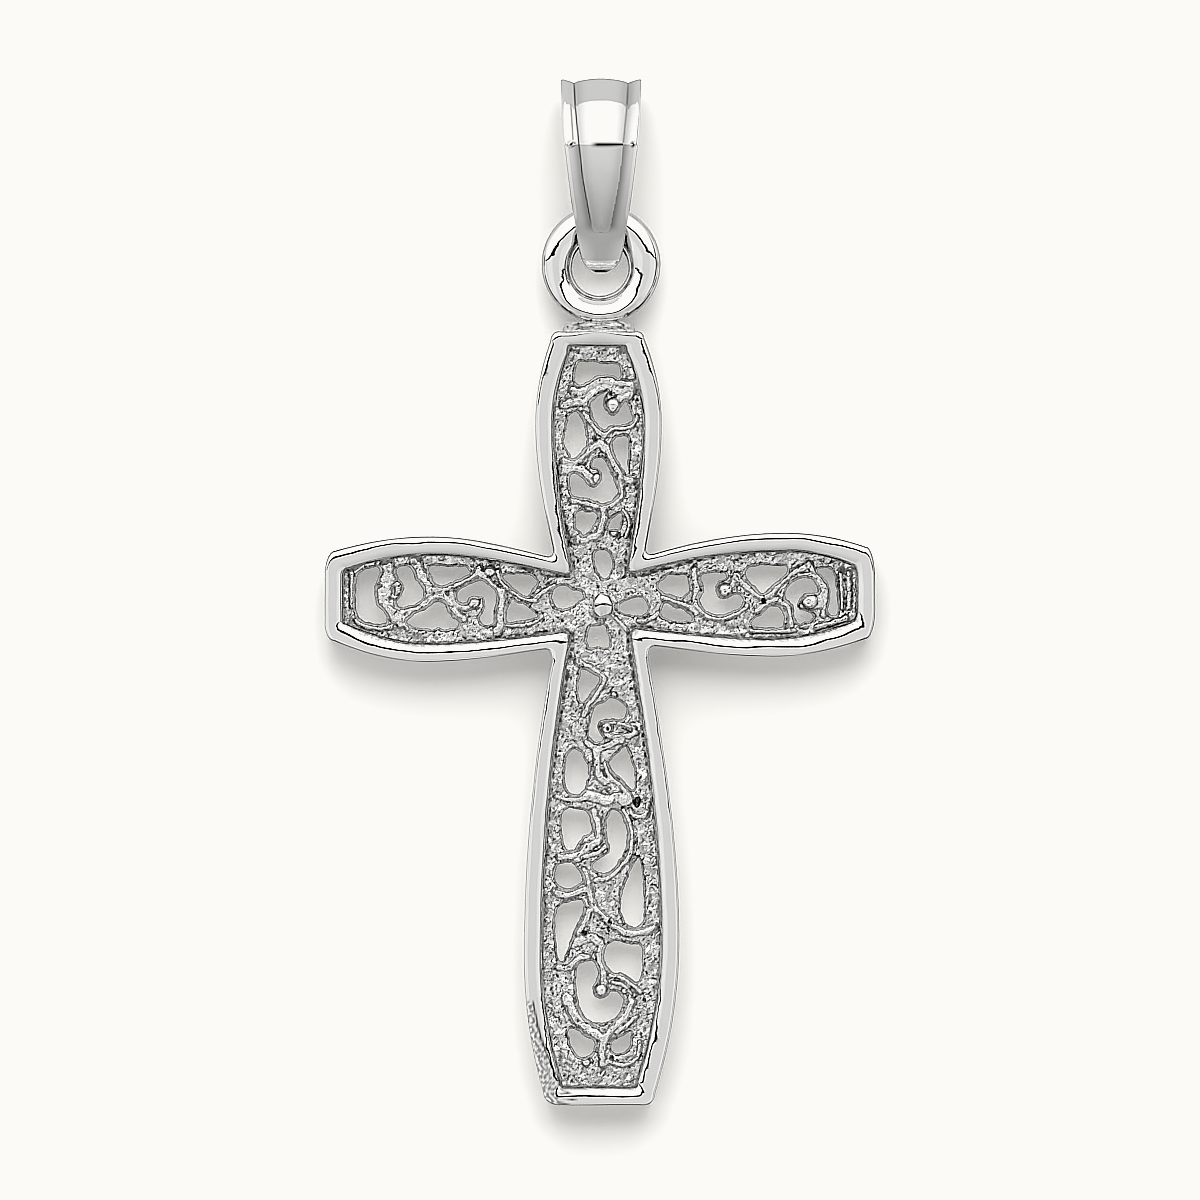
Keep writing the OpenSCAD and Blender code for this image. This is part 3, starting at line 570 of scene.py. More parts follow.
def edge_run(edge, inset, neck_n, belly_n, corner_n):
    """One edge as [distance out, off the middle]: a cubic from the crossing to the belly, a parabola on
    to the shoulder, and a quarter ellipse round the corner to the flat of the tip."""
    neck_at, neck_w, slope, belly_at, belly_w, shoulder_at, shoulder_w, reach, flat_w = edge[2:]
    start = neck_at - inset
    end_at, end_w = shoulder_at - 0.7 * inset, shoulder_w - inset
    reach = reach - inset * tip_share(edge)
    flat_w = min(flat_w, end_w - 0.05)
    t = (1 - np.cos(np.linspace(0, math.pi / 2, neck_n))) ** 0.75
    width = neck_w * (2 * t**3 - 3 * t**2 + 1) + slope * (belly_at - neck_at) * t * (1 - t) ** 2
    width = width + belly_w * (3 * t**2 - 2 * t**3) - inset
    neck = np.stack([start + (belly_at - start) * t, width], axis=1)
    t = np.linspace(0, 1, belly_n + 1)[1:]
    width = belly_w + (shoulder_w - belly_w) * t**2 - inset
    belly = np.stack([belly_at + (end_at - belly_at) * t, width], axis=1)
    a = np.linspace(0, math.pi / 2, corner_n + 1)[1:]
    corner = np.stack([end_at + (reach - end_at) * np.sin(a), flat_w + (end_w - flat_w) * np.cos(a)], axis=1)
    return np.concatenate([neck, belly, corner])


def turned(edge, p):
    """An edge's points turned to its arm and moved to the crossing."""
    c, s = math.cos(math.radians(edge[TURN])), math.sin(math.radians(edge[TURN]))
    off = edge[SIDE] * p[:, 1]
    return np.stack([CROSSING[0] + p[:, 0] * c - off * s, CROSSING[1] + p[:, 0] * s + off * c], axis=1)


def outline(inset):
    """Closed outline of the cross, moved in by inset, with the same count of points for any inset: for
    each arm one edge out, the tip and the other edge back. Each corner between arms is rounded to a
    parabola."""
    arms = []
    for out_edge, back_edge in ARMS:
        steps = LONG_ARM_STEPS if out_edge[TURN] == LOWER_ARM else SHORT_ARM_STEPS
        out = turned(out_edge, edge_run(out_edge, inset, *steps))[1:]
        back = turned(back_edge, edge_run(back_edge, inset, *steps))[::-1]
        tip = out[-1] + (back[0] - out[-1]) * np.linspace(0, 1, TIP_STEPS)[1:-1, None]
        arms.append(np.concatenate([out, tip, back]))
    line = np.concatenate(arms)
    u = np.linspace(0, 1, 2 * CORNER_STEPS + 1)[:, None]
    for corner in np.cumsum([len(arm) for arm in arms]) - 1:
        near = (corner + np.arange(-CORNER_STEPS, CORNER_STEPS + 1)) % len(line)
        run = line[near]
        line[near] = (1 - u) ** 2 * run[0] + 2 * u * (1 - u) * run[CORNER_STEPS] + u**2 * run[-1]
    return line


def inside_depth(gx, gy):
    """How far a point lies inside the cross's outline, counted across the arm that it is on."""
    depth = np.full(gx.shape, -9.0)
    for arm in ARMS:
        turn = math.radians(arm[0][TURN])
        c, s = math.cos(turn), math.sin(turn)
        out = (gx - CROSSING[0]) * c + (gy - CROSSING[1]) * s
        off = -(gx - CROSSING[0]) * s + (gy - CROSSING[1]) * c
        here = np.full(gx.shape, 9.0)
        for edge in arm:
            run = np.concatenate([[[-0.5, edge[NECK_W]]], edge_run(edge, 0.0, 40, 40, 12)])
            wide = np.interp(out, run[:, 0], run[:, 1], right=-9)
            here = np.minimum(here, wide - edge[SIDE] * off)
            here = np.minimum(here, (edge[REACH] - out) / tip_share(edge))
        depth = np.maximum(depth, np.where(out > -0.5, here, -9))
    return depth


# Rim
def rim_section():
    """Profile of the rim as [inset, height]. From the crest, which lies nearer the outside, the height
    falls with the square of the way to each wall and, close to the wall, with its seventh power. The
    inner wall is upright, the base eased, and the outer wall upright."""
    e = np.sin(np.linspace(0, math.pi / 2, 15))[1:, None]
    outer_top = np.concatenate([
        CREST_IN * (1 - e), CROSS_T - CREST_IN * (0.20 * e**2 + 0.36 * e**7),
    ], axis=1)[::-1]
    crest = np.array([[CREST_IN, CROSS_T]])
    wide = INNER_TOP - CREST_IN
    inner_top = np.concatenate([CREST_IN + wide * e, CROSS_T - wide * (0.30 * e**2 + 0.45 * e**7)], axis=1)
    inner = np.array([[0.525, 1.12], [0.525, 0.95], [0.525, 0.60], [0.515, 0.30], [0.49, 0.10], [0.45, 0.02]])
    base = np.array([[0.36, 0.0], [0.16, 0.0]])
    outer = np.array([[0.06, 0.01], [0.015, 0.06], [0.0, 0.20], [0.0, 0.50], [0.0, 0.85], [0.0, 1.20]])
    return np.concatenate([outer_top, crest, inner_top, inner, base, outer])


def foot_skin(x, y):
    """How dark the unpolished skin at the left of the foot is: a crack, as a bell curve across
    FOOT_FOLD, and mottled grey outside of it."""
    fold = curve(FOOT_FOLD, False)
    start = FOOT_FOLD[0][1]
    where = (y < start + 0.3) & (x < 0)
    off = np.full(x.shape, 1.0)
    off[where] = to_line(x[where], y[where], fold)
    beyond = np.zeros(x.shape)
    beyond[where] = smooth((np.interp(y[where], fold[::-1, 1], fold[::-1, 0]) - x[where]) / 0.04)
    ends = smooth((start - y) / 0.15)
    rough = patches(x, y, 0.13, 24, 13, 0.45, 0.9)
    return 0.9 * bell(off, 0.026) * ends + 0.55 * rough * beyond * ends


def cross_frame():
    """The rim: its profile carried round the outline. Sums of cosines round the outline make the crest
    lean, the rim swell and its top sink a little, as hand polishing does, and a fine ripple dents it. At
    the joint with the ring the crest leans out."""
    base = outline(0.0)
    inward = (outline(RIM_W) - base) / RIM_W
    section = rim_section()
    s_in, s_z = section[:, 0], section[:, 1]
    step = np.linalg.norm(np.roll(base, -1, axis=0) - base, axis=1)
    along = np.concatenate([[0], np.cumsum(step)[:-1]])[:, None]
    loop = along / step.sum() * 2 * math.pi
    at_joint = bell(base[:, :1] - JOINT_X, 0.62) * (base[:, 1:] > 6.5)
    lean = 0.014 * loop_noise(loop, (14, 50), 14, 3) + 0.0016 * loop_noise(loop, (60, 140), 20, 4)
    lean = lean - 0.18 * at_joint
    swell = 0.006 * loop_noise(loop, (10, 40), 10, 5) + 0.0006 * loop_noise(loop, (60, 120), 16, 6)
    lift = 0.005 * loop_noise(loop, (12, 50), 12, 7)
    top = smooth((s_z - 1.05) / 0.4)
    dent = 0.0012 * ripple(along, s_in * 1.5, 0.55, 26, 11) * top
    dent = dent + 0.0004 * ripple(along, s_in * 1.5, 0.20, 26, 12) * top
    grow = (s_in - RIM_W / 2) / (RIM_W / 2)
    inset = s_in + top * lean * np.sin(np.clip(s_in / RIM_W, 0, 1) * math.pi) - grow * swell * 0.6
    inset = np.maximum(inset, 0.0)
    z = np.clip(s_z - top * (np.abs(lift) + 0.002) + dent, 0.0, CROSS_T)
    xy = base[:, None, :] + inward[:, None, :] * inset[:, :, None]
    x, y = xy[:, :, 0], xy[:, :, 1]

    # Painted shade: walls darker low down, and dark lines along both edges that depend on the way they face;
    # and the skin at the foot
    outward = -inward / np.linalg.norm(inward, axis=1)[:, None]
    east, north = outward[:, :1], outward[:, 1:]
    # painted shade: walls darker low down, towards the sheet
    wall = WALL_AND_UNDERSIDE_SHADE * (1 - smooth((z - 0.95) / 0.25))
    # painted shade: the outer edge's dark line is stronger where it faces north or east, and at the side
    # arms' tips
    tone = 0.25 + 0.50 * np.maximum(north, 0) + 0.30 * np.maximum(east, 0)
    tone = tone + 0.45 * smooth((base[:, :1] - ARM_TIP) / 0.2) + 0.25 * smooth((-base[:, :1] - ARM_TIP) / 0.2)
    outer_edge_shade = tone * smooth((0.035 - s_in) / 0.03) * (1 - smooth(at_joint / 0.2))
    mottle = patches(x, y, 0.16, 24, 14, 0.55, 0.8) * top
    # painted shade along the inner edge, stronger where it faces north, mottled where it faces south
    inner_edge_shade = 0.45 * smooth((s_in - 0.45) / 0.06)
    inner_edge_shade = inner_edge_shade + 0.25 * smooth((s_in - 0.25) / 0.24) * np.maximum(north, 0)
    inner_edge_shade = inner_edge_shade + 0.50 * smooth((s_in - 0.37) / 0.05) * np.maximum(-north, 0) * mottle
    dark = np.maximum.reduce([wall, outer_edge_shade, inner_edge_shade, foot_skin(x, y) * top])
    points = np.concatenate([xy, z[:, :, None]], axis=2)
    return piece("cross_frame", points, tube_faces(len(base), len(section)), np.clip(dark, 0, 0.92))


# Openwork
class Sheet:
    """One part of the openwork on a square grid. It holds the arrays that the steps below share: the
    points' x and y, their depths inside the metal and inside the outline, the height of the front, and
    how much its colour is darkened, mostly by painted shade."""

    def __init__(self, lowest, highest):
        self.xs = np.arange(-SHEET_X, SHEET_X, GRID)
        self.ys = np.arange(max(lowest - 0.1, SHEET_Y[0]), min(highest + 0.1, SHEET_Y[1]), GRID)
        self.gx, self.gy = np.meshgrid(self.xs, self.ys)
        self.rim = inside_depth(self.gx, self.gy)
        self.metal = self.metal_depth(lowest, highest)
        self.x, self.y, self.level = self.snapped()

    def near(self, points, margin):
        """Slices of the grid's rows and columns that cover some points and a margin."""
        low, high = np.min(points, axis=0) - margin, np.max(points, axis=0) + margin
        columns = np.searchsorted(self.xs, [low[0], high[0]])
        rows = np.searchsorted(self.ys, [low[1], high[1]])
        return slice(*rows), slice(*columns)

    def metal_depth(self, lowest, highest):
        """How deep a grid point lies in the metal, below zero outside it: the least of its distances to
        the openings, made a little uneven, to the middle of the rim and to the wavy ends of this
        part."""
        depth = np.full(self.gx.shape, OPEN_REACH)
        for opening in OPENINGS:
            loop = curve(opening, True)
            at = self.near(loop, OPEN_REACH)
            depth[at] = np.minimum(depth[at], to_loop(self.gx[at], self.gy[at], loop))
        uneven = 0.010 * ripple(self.gx, self.gy, 0.30, 22, 21)
        uneven = uneven + 0.006 * ripple(self.gx, self.gy, 0.16, 22, 22)
        depth = depth + uneven * smooth((0.4 - np.abs(depth)) / 0.4)
        wavy = 0.06 * np.sin(self.gx * 4.0) + 0.03 * np.sin(self.gx * 11.0)
        ends = np.minimum(highest - self.gy + wavy, self.gy - lowest - wavy)
        return np.minimum(np.minimum(depth, self.rim - SHEET_IN), ends)

    def snapped(self):
        """The points' x, y and depth after each point next to the metal's edge has moved onto it, down
        the slope of the depth."""
        metal = self.metal
        rows, cols = metal.shape
        snap = np.zeros(metal.shape, bool)
        for dj, di in ((0, 1), (1, 0), (1, 1)):
            here = metal[: rows - dj, : cols - di]
            there = metal[dj:, di:]
            crossing = (here > 0) != (there > 0)
            nearer = np.abs(here) <= np.abs(there)
            snap[: rows - dj, : cols - di] |= crossing & nearer
            snap[dj:, di:] |= crossing & ~nearer
        dy, dx = np.gradient(metal, GRID)
        steep = np.maximum(dx * dx + dy * dy, 0.2)
        x = self.gx - np.where(snap, metal * dx / steep, 0)
        y = self.gy - np.where(snap, metal * dy / steep, 0)
        return x, y, np.where(snap, 0.0, metal)

    def cast_ground(self):
        """The bare casting: broad swells and packed grains, whose valleys are low and, in patches, darkened
        by painted shade; the ground is also a little darker, unevenly by grain."""
        x, y = self.x, self.y
        patchy = patches(x, y, 0.45, 24, 37, 0.50, 0.8)
        bent_x = x * 0.84 + y * 0.54 + 0.05 * ripple(x, y, 0.35, 16, 45)
        bent_y = y * 0.84 - x * 0.54 + 0.05 * ripple(x, y, 0.35, 16, 46)
        first, second, self.grain = grains(bent_x, bent_y, GRAIN, 36)
        self.valley = 1 - smooth((second - first) / 0.40)
        # patches where the grains' valleys get painted shade
        self.valley_shade_patches = patches(x, y, 0.14, 30, 49, 0.38, 1.3) * (0.55 + 0.45 * patchy)
        self.broken = patches(x, y, 0.22, 24, 33, 0.55, 0.9)
        self.dots = smooth((0.24 - grains(bent_y, bent_x, DOT_APART, 39)[0]) / 0.10)
        front = FRONT_Z - 0.10 + 0.030 * ripple(x, y, 0.60, 24, 31) + 0.022 * ripple(x, y, 0.28, 30, 32)
        self.front = front + 0.005 * self.grain - 0.016 * self.valley * (0.3 + 0.7 * patchy)
        ground = np.clip(GROUND_DARKENING + 0.22 * self.grain + 0.10 * ripple(x, y, 0.40, 24, 47), 0, 1)
        self.painted_shade_and_tone = np.maximum(self.valley * self.valley_shade_patches, ground)

    def raise_wires(self):
        """Each wire is a low arch across its middle line, 1 - (share of its half width)^2 to the power
        0.6, with a broken line of painted shade along each side."""
        for wide, rise, *points in WIRES:
            line = curve(points, False)
            at = self.near(line, wide)
            x, y = self.x[at], self.y[at]
            half = wide / 2 * (1.24 + 0.16 * ripple(x, y, 0.26, 14, 35))
            away = to_line(x, y, line)
            crest = FRONT_Z - 0.05 + rise * np.maximum(1 - (away / half) ** 2, 0) ** 0.6
            crest = crest + 0.012 * self.grain[at] + 0.016 * ripple(x, y, 0.24, 16, 38)
            self.front[at] = np.where(away < half, np.maximum(self.front[at], crest), self.front[at])
            bright = np.clip(0.02 + 0.10 * ripple(x, y, 0.20, 16, 48), 0, 1)
            bright = np.maximum(bright, 0.40 * self.valley[at] * self.valley_shade_patches[at])
            core = smooth((half - away) / 0.03)
            # painted shade along each side of the wire, where it meets the ground
            side = bell(away - half, EDGE_LINE) * (0.15 + 0.85 * self.broken[at])
            self.painted_shade_and_tone[at] = np.maximum(self.painted_shade_and_tone[at] * (1 - core) + bright * core, 0.66 * side)

    def raise_balls(self):
        """Each ball is a dome, 0.8 of a half sphere, not darkened on top and with a line of painted shade
        round it.
        """
        for bx, by, radius in BALLS:
            at = self.near([(bx, by)], radius + 0.1)
            away = np.hypot(self.x[at] - bx, self.y[at] - by) / radius
            dome = FRONT_Z + 0.02 + 0.8 * radius * np.sqrt(np.maximum(1 - away**2, 0))
            self.front[at] = np.where(away < 1, np.maximum(self.front[at], dome), self.front[at])
            foot_shade_line = 0.75 * bell((away - 1) * radius, EDGE_LINE)
            self.painted_shade_and_tone[at] = np.maximum(self.painted_shade_and_tone[at] * smooth((away - 0.85) / 0.1), foot_shade_line)

    def sink_pits(self):
        """Small dents darkened by painted shade in patches, and the larger pits: uneven ovals that sink by an
        eased step, filled with painted shade.
        """
        mottle = patches(self.x, self.y, 0.4, 20, 40, 0.35, 0.9)
        self.painted_shade_and_tone = np.maximum(self.painted_shade_and_tone, 0.80 * self.dots * mottle)
        self.front = self.front - 0.02 * self.dots
        for hx, hy, radius in PITS:
            at = self.near([(hx, hy)], radius + 0.1)
            x, y = self.x[at], self.y[at]
            away = np.hypot(x - hx, (y - hy) * 0.75) * (1 + 0.40 * ripple(x, y, 0.16, 9, 44))
            deep = smooth((radius * 1.05 - away) / 0.06)
            self.front[at] -= 0.10 * deep
            self.painted_shade_and_tone[at] = np.maximum(self.painted_shade_and_tone[at], 0.9 * deep)

    def paint_edge_shade(self):
        """Lines of painted shade along the openings' edges and, broken, along the foot of the rim."""
        self.painted_shade_and_tone = np.maximum(self.painted_shade_and_tone, 0.85 * (1 - smooth((self.level - 0.006) / 0.026)))
        by_rim = 0.85 * (1 - smooth((self.rim - 0.530) / 0.030)) * (0.4 + 0.6 * self.broken)
        self.painted_shade_and_tone = np.maximum(self.painted_shade_and_tone, by_rim)

    def close(self, name, sunk_above):
        """The sheet's piece. Front and back meet at each edge: their heights off the middle are
        multiplied by 1 - (1 - share of WIRE_R)^5. The front flattens beside the rim, and above
        sunk_above both sides sink a little, under the neighbour. Only triangles with all corners on
        metal are kept."""
        sink = SINK * smooth((self.gy - sunk_above) / 0.05)
        by_rim = 1 - smooth((self.rim - 0.50) / 0.25)
        flat = FRONT_Z - 0.03 + 0.6 * (self.front - FRONT_Z)
        front = self.front * (1 - by_rim) + flat * by_rim - sink
        back = MID_Z - BACK_Z + 0.020 * ripple(self.x, self.y, 0.5, 20, 41) - 0.014 * self.valley - sink
        swell = 1 - (1 - np.clip(self.level / WIRE_R, 0, 1)) ** 5
        front = MID_Z + (front - MID_Z) * swell
        back = MID_Z - back * swell

        rows, cols = self.metal.shape
        index = np.arange(rows * cols).reshape(rows, cols)
        a, b = index[:-1, :-1].ravel(), index[:-1, 1:].ravel()
        c, d = index[1:, 1:].ravel(), index[1:, :-1].ravel()
        tris = np.concatenate([np.stack([a, b, c], 1), np.stack([a, c, d], 1)])
        level, metal = self.level.ravel(), self.metal.ravel()
        keep = (level[tris] >= 0).all(axis=1) & (metal[tris].sum(axis=1) > 0)
        tris = tris[keep & (level[tris] > 0).any(axis=1)]
        used = np.unique(tris)
        number = np.full(rows * cols, -1)
        number[used] = np.arange(len(used))
        x, y, front, back, painted_shade_and_tone = (v.ravel()[used] for v in (self.x, self.y, front, back, self.painted_shade_and_tone))
        inner = level[used] > 0
        below = np.where(inner, len(used) + np.cumsum(inner) - 1, np.arange(len(used)))
        points = np.concatenate([np.stack([x, y, front], axis=1), np.stack([x, y, back], axis=1)[inner]])
        faces = np.concatenate([number[tris], below[number[tris]][:, ::-1]])
        return piece(name, points, faces, np.concatenate([painted_shade_and_tone, np.zeros(inner.sum())]))


def openwork(name, low_join, high_join):
    """Part of the openwork between two joins, as one closed sheet of wires: the swells and grains of the
    casting, with wires and balls raised on it and pits sunk in it. It runs on a little under its upper
    neighbour."""
    sheet = Sheet(low_join, high_join + OVERLAP)
    sheet.cast_ground()
    sheet.raise_wires()
    sheet.raise_balls()
    sheet.sink_pits()
    sheet.paint_edge_shade()
    return sheet.close(name, high_join - SINK_EARLY)


# Centre bead
def centre_bead():
    """A dome that spreads to a low collar: its radius and height follow a circle from the pole to 20
    degrees above its middle and then a short flare; a crack runs across it at a sine's height as a line of
    painted shade, and the side south of it is a little darker, painted shade."""
    a = np.radians(np.linspace(90, 20, 24))
    r = np.concatenate([BEAD_R * np.cos(a), [0.36, 0.40, 0.43, 0.42]])[1:, None]
    z = np.concatenate([BEAD_Z + BEAD_RISE * np.sin(a), [1.15, 1.07, 0.98, 0.85]])
    turn = np.linspace(0, 2 * math.pi, 64, endpoint=False)
    wave = 1 + 0.05 * np.cos(3 * turn + 0.6) + 0.025 * np.cos(7 * turn)
    x = BEAD_MID[0] + r * np.cos(turn) * wave
    y = BEAD_MID[1] + BEAD_LONG * r * np.sin(turn) * wave
    crack = (y - BEAD_MID[1] - 0.03 - 0.025 * np.sin(14 * x)) / 0.026
    dark = 0.95 * np.exp(-(crack**2)) * smooth((0.27 - np.abs(x - BEAD_MID[0])) / 0.06)
    dark = np.maximum(dark, 0.16 * smooth(-crack / 3))
    poles = [[*BEAD_MID, z[0]], [*BEAD_MID, z[-1]]]
    return capped_piece("centre_bead", x, y, np.broadcast_to(z[1:, None], x.shape), poles, dark, [0.1, 0.5])


# Hanging ring
def hanging_ring():
    """A flattened ring: its section, as shares of the way from the outer circle to the hole and heights,
    carried round, with a small lip at the hole, the crest carried outwards at the foot, and the waves of
    hand polishing. Painted shade: dark lines along the lip and the outer edge, a band at the foot, and the
    underside."""
    turn = np.linspace(0, 2 * math.pi, 300, endpoint=False)[:, None]
    section = curve(RING_SECTION, True, 5)
    share, z = section[:, 0], section[:, 1]
    c, s = np.cos(turn), np.sin(turn)
    foot = smooth((-s - 0.1) / 0.9)
    wavy = 0.03 * np.cos(2 * turn + 1.0) + 0.018 * np.cos(5 * turn + 2.2) + 0.006 * np.cos(13 * turn)
    top = smooth((z - 0.80) / 0.2)
    share = share + top * (wavy - 0.13 * foot) * np.sin(np.clip(share, 0, 1) * math.pi)
    hole_r = HOLE_R * (1 + 0.006 * np.cos(3 * turn + 0.4) + 0.004 * np.cos(9 * turn + 1.7))
    x = (1 - share) * (RING_MID[0] + RING_R * c) + share * (HOLE_MID[0] + hole_r * c)
    y = (1 - share) * (RING_MID[1] + RING_R * s) + share * (HOLE_MID[1] + hole_r * s)
    z = z + top * (0.0014 * ripple(x, y, 0.60, 24, 52) + 0.0004 * ripple(x, y, 0.24, 24, 55) - 0.004)
    # painted shade: dark lines at the lip, along the outer edge and in a band at the foot
    lip_shade_lines = bell(share - LIP_STARTS, 0.042) + bell(share - LIP_ENDS, 0.034)
    sides = smooth((0.30 - s) / 0.25) * smooth((s + 0.93) / 0.10)
    outer_shade_line = 0.9 * bell(share - 0.085, 0.016) * sides + 0.30 * smooth((0.09 - share) / 0.02)
    foot_shade_band = 0.26 * smooth((0.31 - share) / 0.05) * smooth((-s - 0.45) / 0.35)
    uneven = 0.60 + 0.40 * patches(x, y, 0.3, 20, 53, 0.5, 0.9)
    # painted shade on the ring's underside and low outer wall
    under = (1 - smooth((z - 0.45) / 0.25)) * smooth((0.6 - share) / 0.2)
    dark = np.maximum(top * (lip_shade_lines + outer_shade_line + foot_shade_band) * uneven, WALL_AND_UNDERSIDE_SHADE * under)
    points = np.stack([x, y, z], axis=2)
    return piece("hanging_ring", points, tube_faces(len(turn), len(section)), np.clip(dark, 0, 1))


# Solder joint
def solder_joint():
    """Lumps of solder between ring and arm: a low closed form along X that flares to the arm's
    shoulders, its height and edges broken by seeded ripples, with painted shade mottled on top by a finer
    ripple, as in small dips."""
    along = np.linspace(-1, 1, 141)[1:-1, None]
    a = np.linspace(0, 2 * math.pi, 72, endpoint=False)
    full = np.sqrt(1 - np.abs(along) ** 4)
    x = JOINT_X + JOINT_HALF * along + 0 * a
    waist = 0.24 + 0.10 * np.abs(along) ** 3
    y = JOINT_Y - JOINT_SAG * np.abs(along) ** 2 + waist * full * np.cos(a)
    z = JOINT_Z + (0.50 - 0.16 * np.abs(along) ** 2) * full * np.sin(a)
    lump = ripple(x, y, 0.46, 26, 51)
    fine = ripple(x, y, 0.13, 26, 54)
    top = smooth(np.sin(a) * 1.2)
    z = z + top * full * (0.24 * smooth((JOINT_Y + 0.06 - y) / 0.16) + 0.030 * lump)
    y = y + full * 0.03 * lump * np.cos(a)
    # painted shade mottled over the top along a fine ripple
    dark = top * (0.06 + 0.60 * smooth((-fine - 1.1) / 0.5) + 0.22 * smooth(0.4 - 0.6 * fine))
    # painted shade on the solder's underside
    dark = np.maximum(dark, WALL_AND_UNDERSIDE_SHADE * smooth((0.6 - z) / 0.2))
    poles = [[JOINT_X + side * JOINT_HALF, JOINT_Y - JOINT_SAG, JOINT_Z] for side in (-1, 1)]
    return capped_piece("solder_joint", x, y, z, poles, dark, [0.5, 0.5])


# Bail
def arc(mid_y, mid_z, radius, heading):
    """Points of an arc in the y-z plane as [y, z, outward heading]."""
    return np.stack([mid_y + radius * np.cos(heading), mid_z + radius * np.sin(heading), heading], axis=1)


def bail_run():
    """Outer line of the folded strip in the y-z plane as [y, z, outward heading]: a small arc round the
    tip, a front bowed by BOW up to the crease, a tiny arc over it, the long arc of the shoulder, a
    smaller arc down to the back, and the flat back."""
    tip_y, tip_z, tip_r = TIP_ARC
    crease = np.array(CREASE)
    rise_y, rise_z = CREASE[0] - tip_y, CREASE[1] - tip_z
    leave = math.atan2(rise_z, rise_y) + math.acos(tip_r / math.hypot(rise_y, rise_z)) + 0.6 * BOW
    tip = arc(*TIP_ARC, np.linspace(math.radians(270), leave, 36))

    start = tip[-1, :2]
    chord_y, chord_z = crease - start
    lie = math.atan2(chord_z, chord_y) + math.pi / 2
    radius = math.hypot(chord_y, chord_z) / 2 / math.sin(BOW / 2)
    mid = (start + crease) / 2 - radius * math.cos(BOW / 2) * np.array([math.cos(lie), math.sin(lie)])
    front = arc(*mid, radius, np.linspace(BOW / 2, -BOW / 2, 150)[1:-1] + lie)

    begin = math.atan2(CREASE[1] - SHOULDER_ARC[1], CREASE[0] - SHOULDER_ARC[0])
    turn = np.linspace(lie - BOW / 2, begin, 7)
    round_y = CREASE[0] - CREASE_R * math.cos((turn[0] + turn[-1]) / 2)
    over = arc(round_y, CREASE[1] - CREASE_R, CREASE_R, turn[1:-1])
    shoulder = arc(*SHOULDER_ARC, begin * (1 - np.linspace(0, 1, 140)[1:] ** 1.5))
    under = arc(*UNDER_ARC, np.linspace(0, -math.pi / 2, 30)[1:])

    t = np.linspace(0, 1, 60)[1:-1]
    back = np.stack([UNDER_ARC[0] + (tip_y - UNDER_ARC[0]) * t, 0 * t, np.full(len(t), -math.pi / 2)], axis=1)
    return np.concatenate([tip, front, over, shoulder, under, back])


